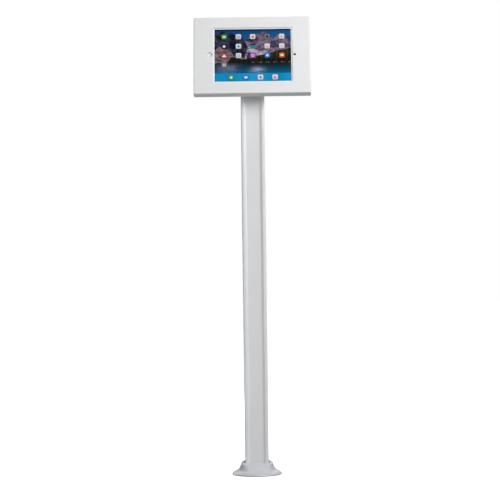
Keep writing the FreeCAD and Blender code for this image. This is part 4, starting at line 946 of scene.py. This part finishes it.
def finish_nodes():
    """Give each CAD node its material by the record's slot, where that slot has a finish here."""
    by_slot = {
        "white_powder_coat": powder_coat("white_powder_coat", COAT_WHITE),
        "white_extrusion": powder_coat("white_extrusion", EXTRUSION_WHITE, roughness=0.38),
        "skirt_plastic": moulded_plastic("skirt_plastic", SKIRT_GREY, roughness=0.46),
        "white_plastic": moulded_plastic(
            "white_plastic", STRIP_WHITE, roughness=0.5, grain_scale=2200, scuffs=0.1),
        "nylon": moulded_plastic("nylon", NYLON, roughness=0.45, grain_scale=1800, scuffs=0.0),
        "fibre_washer": moulded_plastic("fibre_washer", FIBRE, roughness=0.8, grain_scale=1200, scuffs=0.0),
        "zinc_steel": metal("zinc_steel", ZINC, roughness=0.33),
        "hinge_steel": metal("hinge_steel", ROLLED_STEEL, roughness=0.36, stretch=ALONG_HINGE),
        "spring_steel": metal("spring_steel", SPRING_BLUE, roughness=0.4),
        "rivet_aluminium": metal("rivet_aluminium", ALUMINIUM, roughness=0.4),
        "lock_chrome": metal("lock_chrome", CHROME, roughness=0.12, scratches=0.15, stain=0.95),
        "tablet_aluminium": metal(
            "tablet_aluminium", ALUMINIUM, roughness=0.34, scratches=0.2, stain=0.97),
        "black_rubber": rubber("black_rubber", RUBBER_BLACK),
        "tablet_white_glass": white_glass("tablet_white_glass", GLASS_WHITE),
        "button_white": home_button_finish("button_white", scaled(GLASS_WHITE, BUTTON_SHADE)),
        "lens_glass": lens_glass("lens_glass"),
        "battery_wrap": foil_pouch("battery_wrap", FOIL_BLACK),
        "circuit_board": circuit_board("circuit_board", BOARD_GREEN),
    }
    for part in frame["record"]["subparts"]:
        material = by_slot.get(part["material_slot"])
        if material is None:
            continue
        mesh = frame["nodes"][part["node"]].data
        mesh.materials.clear()
        mesh.materials.append(material)


# ---- stage ----
CAMERA_PLACE = (0.0136, -3.9947, 0.4978)
CAMERA_YAW_DEGREES = 0.357
CAMERA_PITCH_DEGREES = 1.143
CAMERA_ROLL_DEGREES = -0.729
CAMERA_LENS_MM = 111.3
CAMERA_SENSOR_MM = 36.0

# Name, place, target, size in metres and power in watts.
LIGHTS = (
    ("key", (1.48, -2.78, 3.40), (0.0, 0.0, 1.0), (2.2, 2.2), 111.0),
    ("side", (1.90, -1.20, 1.60), (0.0, 0.0, 1.1), (1.2, 1.2), 20.0),
    ("front", (0.30, -3.80, 2.00), (0.0, 0.0, 0.6), (1.2, 1.2), 9.0),
    ("low_left", (-1.10, -0.90, 0.15), (0.0, 0.0, 0.0), (0.4, 0.2), 3.0),
    ("back", (0.40, 2.40, 1.90), (0.0, 0.0, 0.8), (2.0, 1.2), 30.0),
    ("back_left", (-2.00, 1.90, 1.50), (0.0, 0.0, 0.7), (1.4, 1.4), 30.0),
)
# Strength of the studio's light by the upward part of its direction, from -1 (below) to 1 (above).
WORLD_LIGHT = ((-0.70, 0.43), (-0.25, 0.02), (0.10, 0.02), (0.60, 0.11))

FLOOR_RADIUS = 30.0
FLOOR_SEGMENTS = 96
FLOOR_DROP = 0.0005
FLOOR_PALE = (0.9, 0.9, 0.9)
FLOOR_SHADES = ((0.89, 0.89, 0.89), (0.91, 0.91, 0.91))
FLOOR_ROUGHNESS = 0.85
FLOOR_NOISE_SCALE = 3
# The floor's glow, and the distances from the object in metres between which it grows.
FLOOR_GLOW = (0.84, 1.0)
FLOOR_GLOW_REACH = (0.3, 2.2)


def build_light(name, place, target, size, power):
    """Rectangular soft box that points at a place."""
    data = bpy.data.lights.new(name, "AREA")
    data.shape = "RECTANGLE"
    data.size, data.size_y = size
    data.energy = power
    light = bpy.data.objects.new(name, data)
    light.location = place
    light.rotation_euler = (Vector(target) - light.location).to_track_quat("-Z", "Y").to_euler()
    bpy.context.collection.objects.link(light)


def build_world():
    """Studio light that is strongest from below, as if off a white floor; the camera sees plain white."""
    world = bpy.data.worlds.new("studio")
    bpy.context.scene.world = world
    world.use_nodes = True
    tree = world.node_tree
    tree.nodes.clear()
    output = tree.nodes.new("ShaderNodeOutputWorld")
    pick = tree.nodes.new("ShaderNodeMixShader")
    path = tree.nodes.new("ShaderNodeLightPath")
    seen = tree.nodes.new("ShaderNodeBackground")
    seen.inputs["Color"].default_value = (1, 1, 1, 1)
    lighting = tree.nodes.new("ShaderNodeBackground")
    place = tree.nodes.new("ShaderNodeTexCoord")
    split = tree.nodes.new("ShaderNodeSeparateXYZ")
    height = tree.nodes.new("ShaderNodeMapRange")
    height.inputs["From Min"].default_value = -1
    ramp = tree.nodes.new("ShaderNodeValToRGB")
    stops = ramp.color_ramp.elements
    for index, (direction, strength) in enumerate(WORLD_LIGHT):
        stop = stops[index] if index < len(stops) else stops.new(1.0)
        stop.position = (direction + 1) / 2
        stop.color = (strength, strength, strength, 1)
    tree.links.new(place.outputs["Generated"], split.inputs["Vector"])
    tree.links.new(split.outputs["Z"], height.inputs["Value"])
    tree.links.new(height.outputs["Result"], ramp.inputs["Fac"])
    tree.links.new(ramp.outputs["Color"], lighting.inputs["Color"])
    tree.links.new(path.outputs["Is Camera Ray"], pick.inputs["Fac"])
    tree.links.new(lighting.outputs["Background"], pick.inputs[1])
    tree.links.new(seen.outputs["Background"], pick.inputs[2])
    tree.links.new(pick.outputs["Shader"], output.inputs["Surface"])


def floor_finish(name):
    """Pale matt floor that glows a little, and more so further away, so that it fades to white."""
    s = Shader(name, FLOOR_PALE, FLOOR_ROUGHNESS)
    s.drive("Base Color", s.mix(s.noise(FLOOR_NOISE_SCALE, detail=4), *FLOOR_SHADES))
    s.set("Emission Color", (1, 1, 1, 1))
    away = s.distance_from((0, 0, 0))
    s.drive("Emission Strength", s.spread(away, *FLOOR_GLOW_REACH, *FLOOR_GLOW))
    return s.material


def build_floor():
    """Plain floor just under the object. It takes shadows but lights nothing."""
    form = bmesh.new()
    bmesh.ops.create_circle(form, cap_ends=True, radius=FLOOR_RADIUS, segments=FLOOR_SEGMENTS)
    mesh = bpy.data.meshes.new("floor")
    form.to_mesh(mesh)
    form.free()
    mesh.materials.append(floor_finish("pale_floor"))
    floor = bpy.data.objects.new("floor", mesh)
    floor.location.z = -FLOOR_DROP
    bpy.context.collection.objects.link(floor)
    floor.visible_diffuse = False
    floor.visible_glossy = False


def build_camera():
    """Camera in front of the object, a little below its middle, and very slightly turned."""
    data = bpy.data.cameras.new("camera")
    data.lens = CAMERA_LENS_MM
    data.sensor_width = CAMERA_SENSOR_MM
    camera = bpy.data.objects.new("camera", data)
    camera.location = CAMERA_PLACE
    yaw = Matrix.Rotation(math.radians(CAMERA_YAW_DEGREES), 3, "Z")
    pitch = Matrix.Rotation(math.radians(90 + CAMERA_PITCH_DEGREES), 3, "X")
    roll = Matrix.Rotation(math.radians(CAMERA_ROLL_DEGREES), 3, "Z")
    camera.rotation_euler = (yaw @ pitch @ roll).to_euler()
    bpy.context.collection.objects.link(camera)
    bpy.context.scene.camera = camera


bpy.context.scene.view_settings.view_transform = "Standard"
build_camera()
build_world()
build_floor()
for settings in LIGHTS:
    build_light(*settings)
finish_nodes()
build_screen()
foam_finish = foam("foam", FOAM_GREY)
build_pads("foam_back_pads", "foam_pads", foam_finish)
build_pads("foam_edge_pads", "edge_pads", foam_finish)
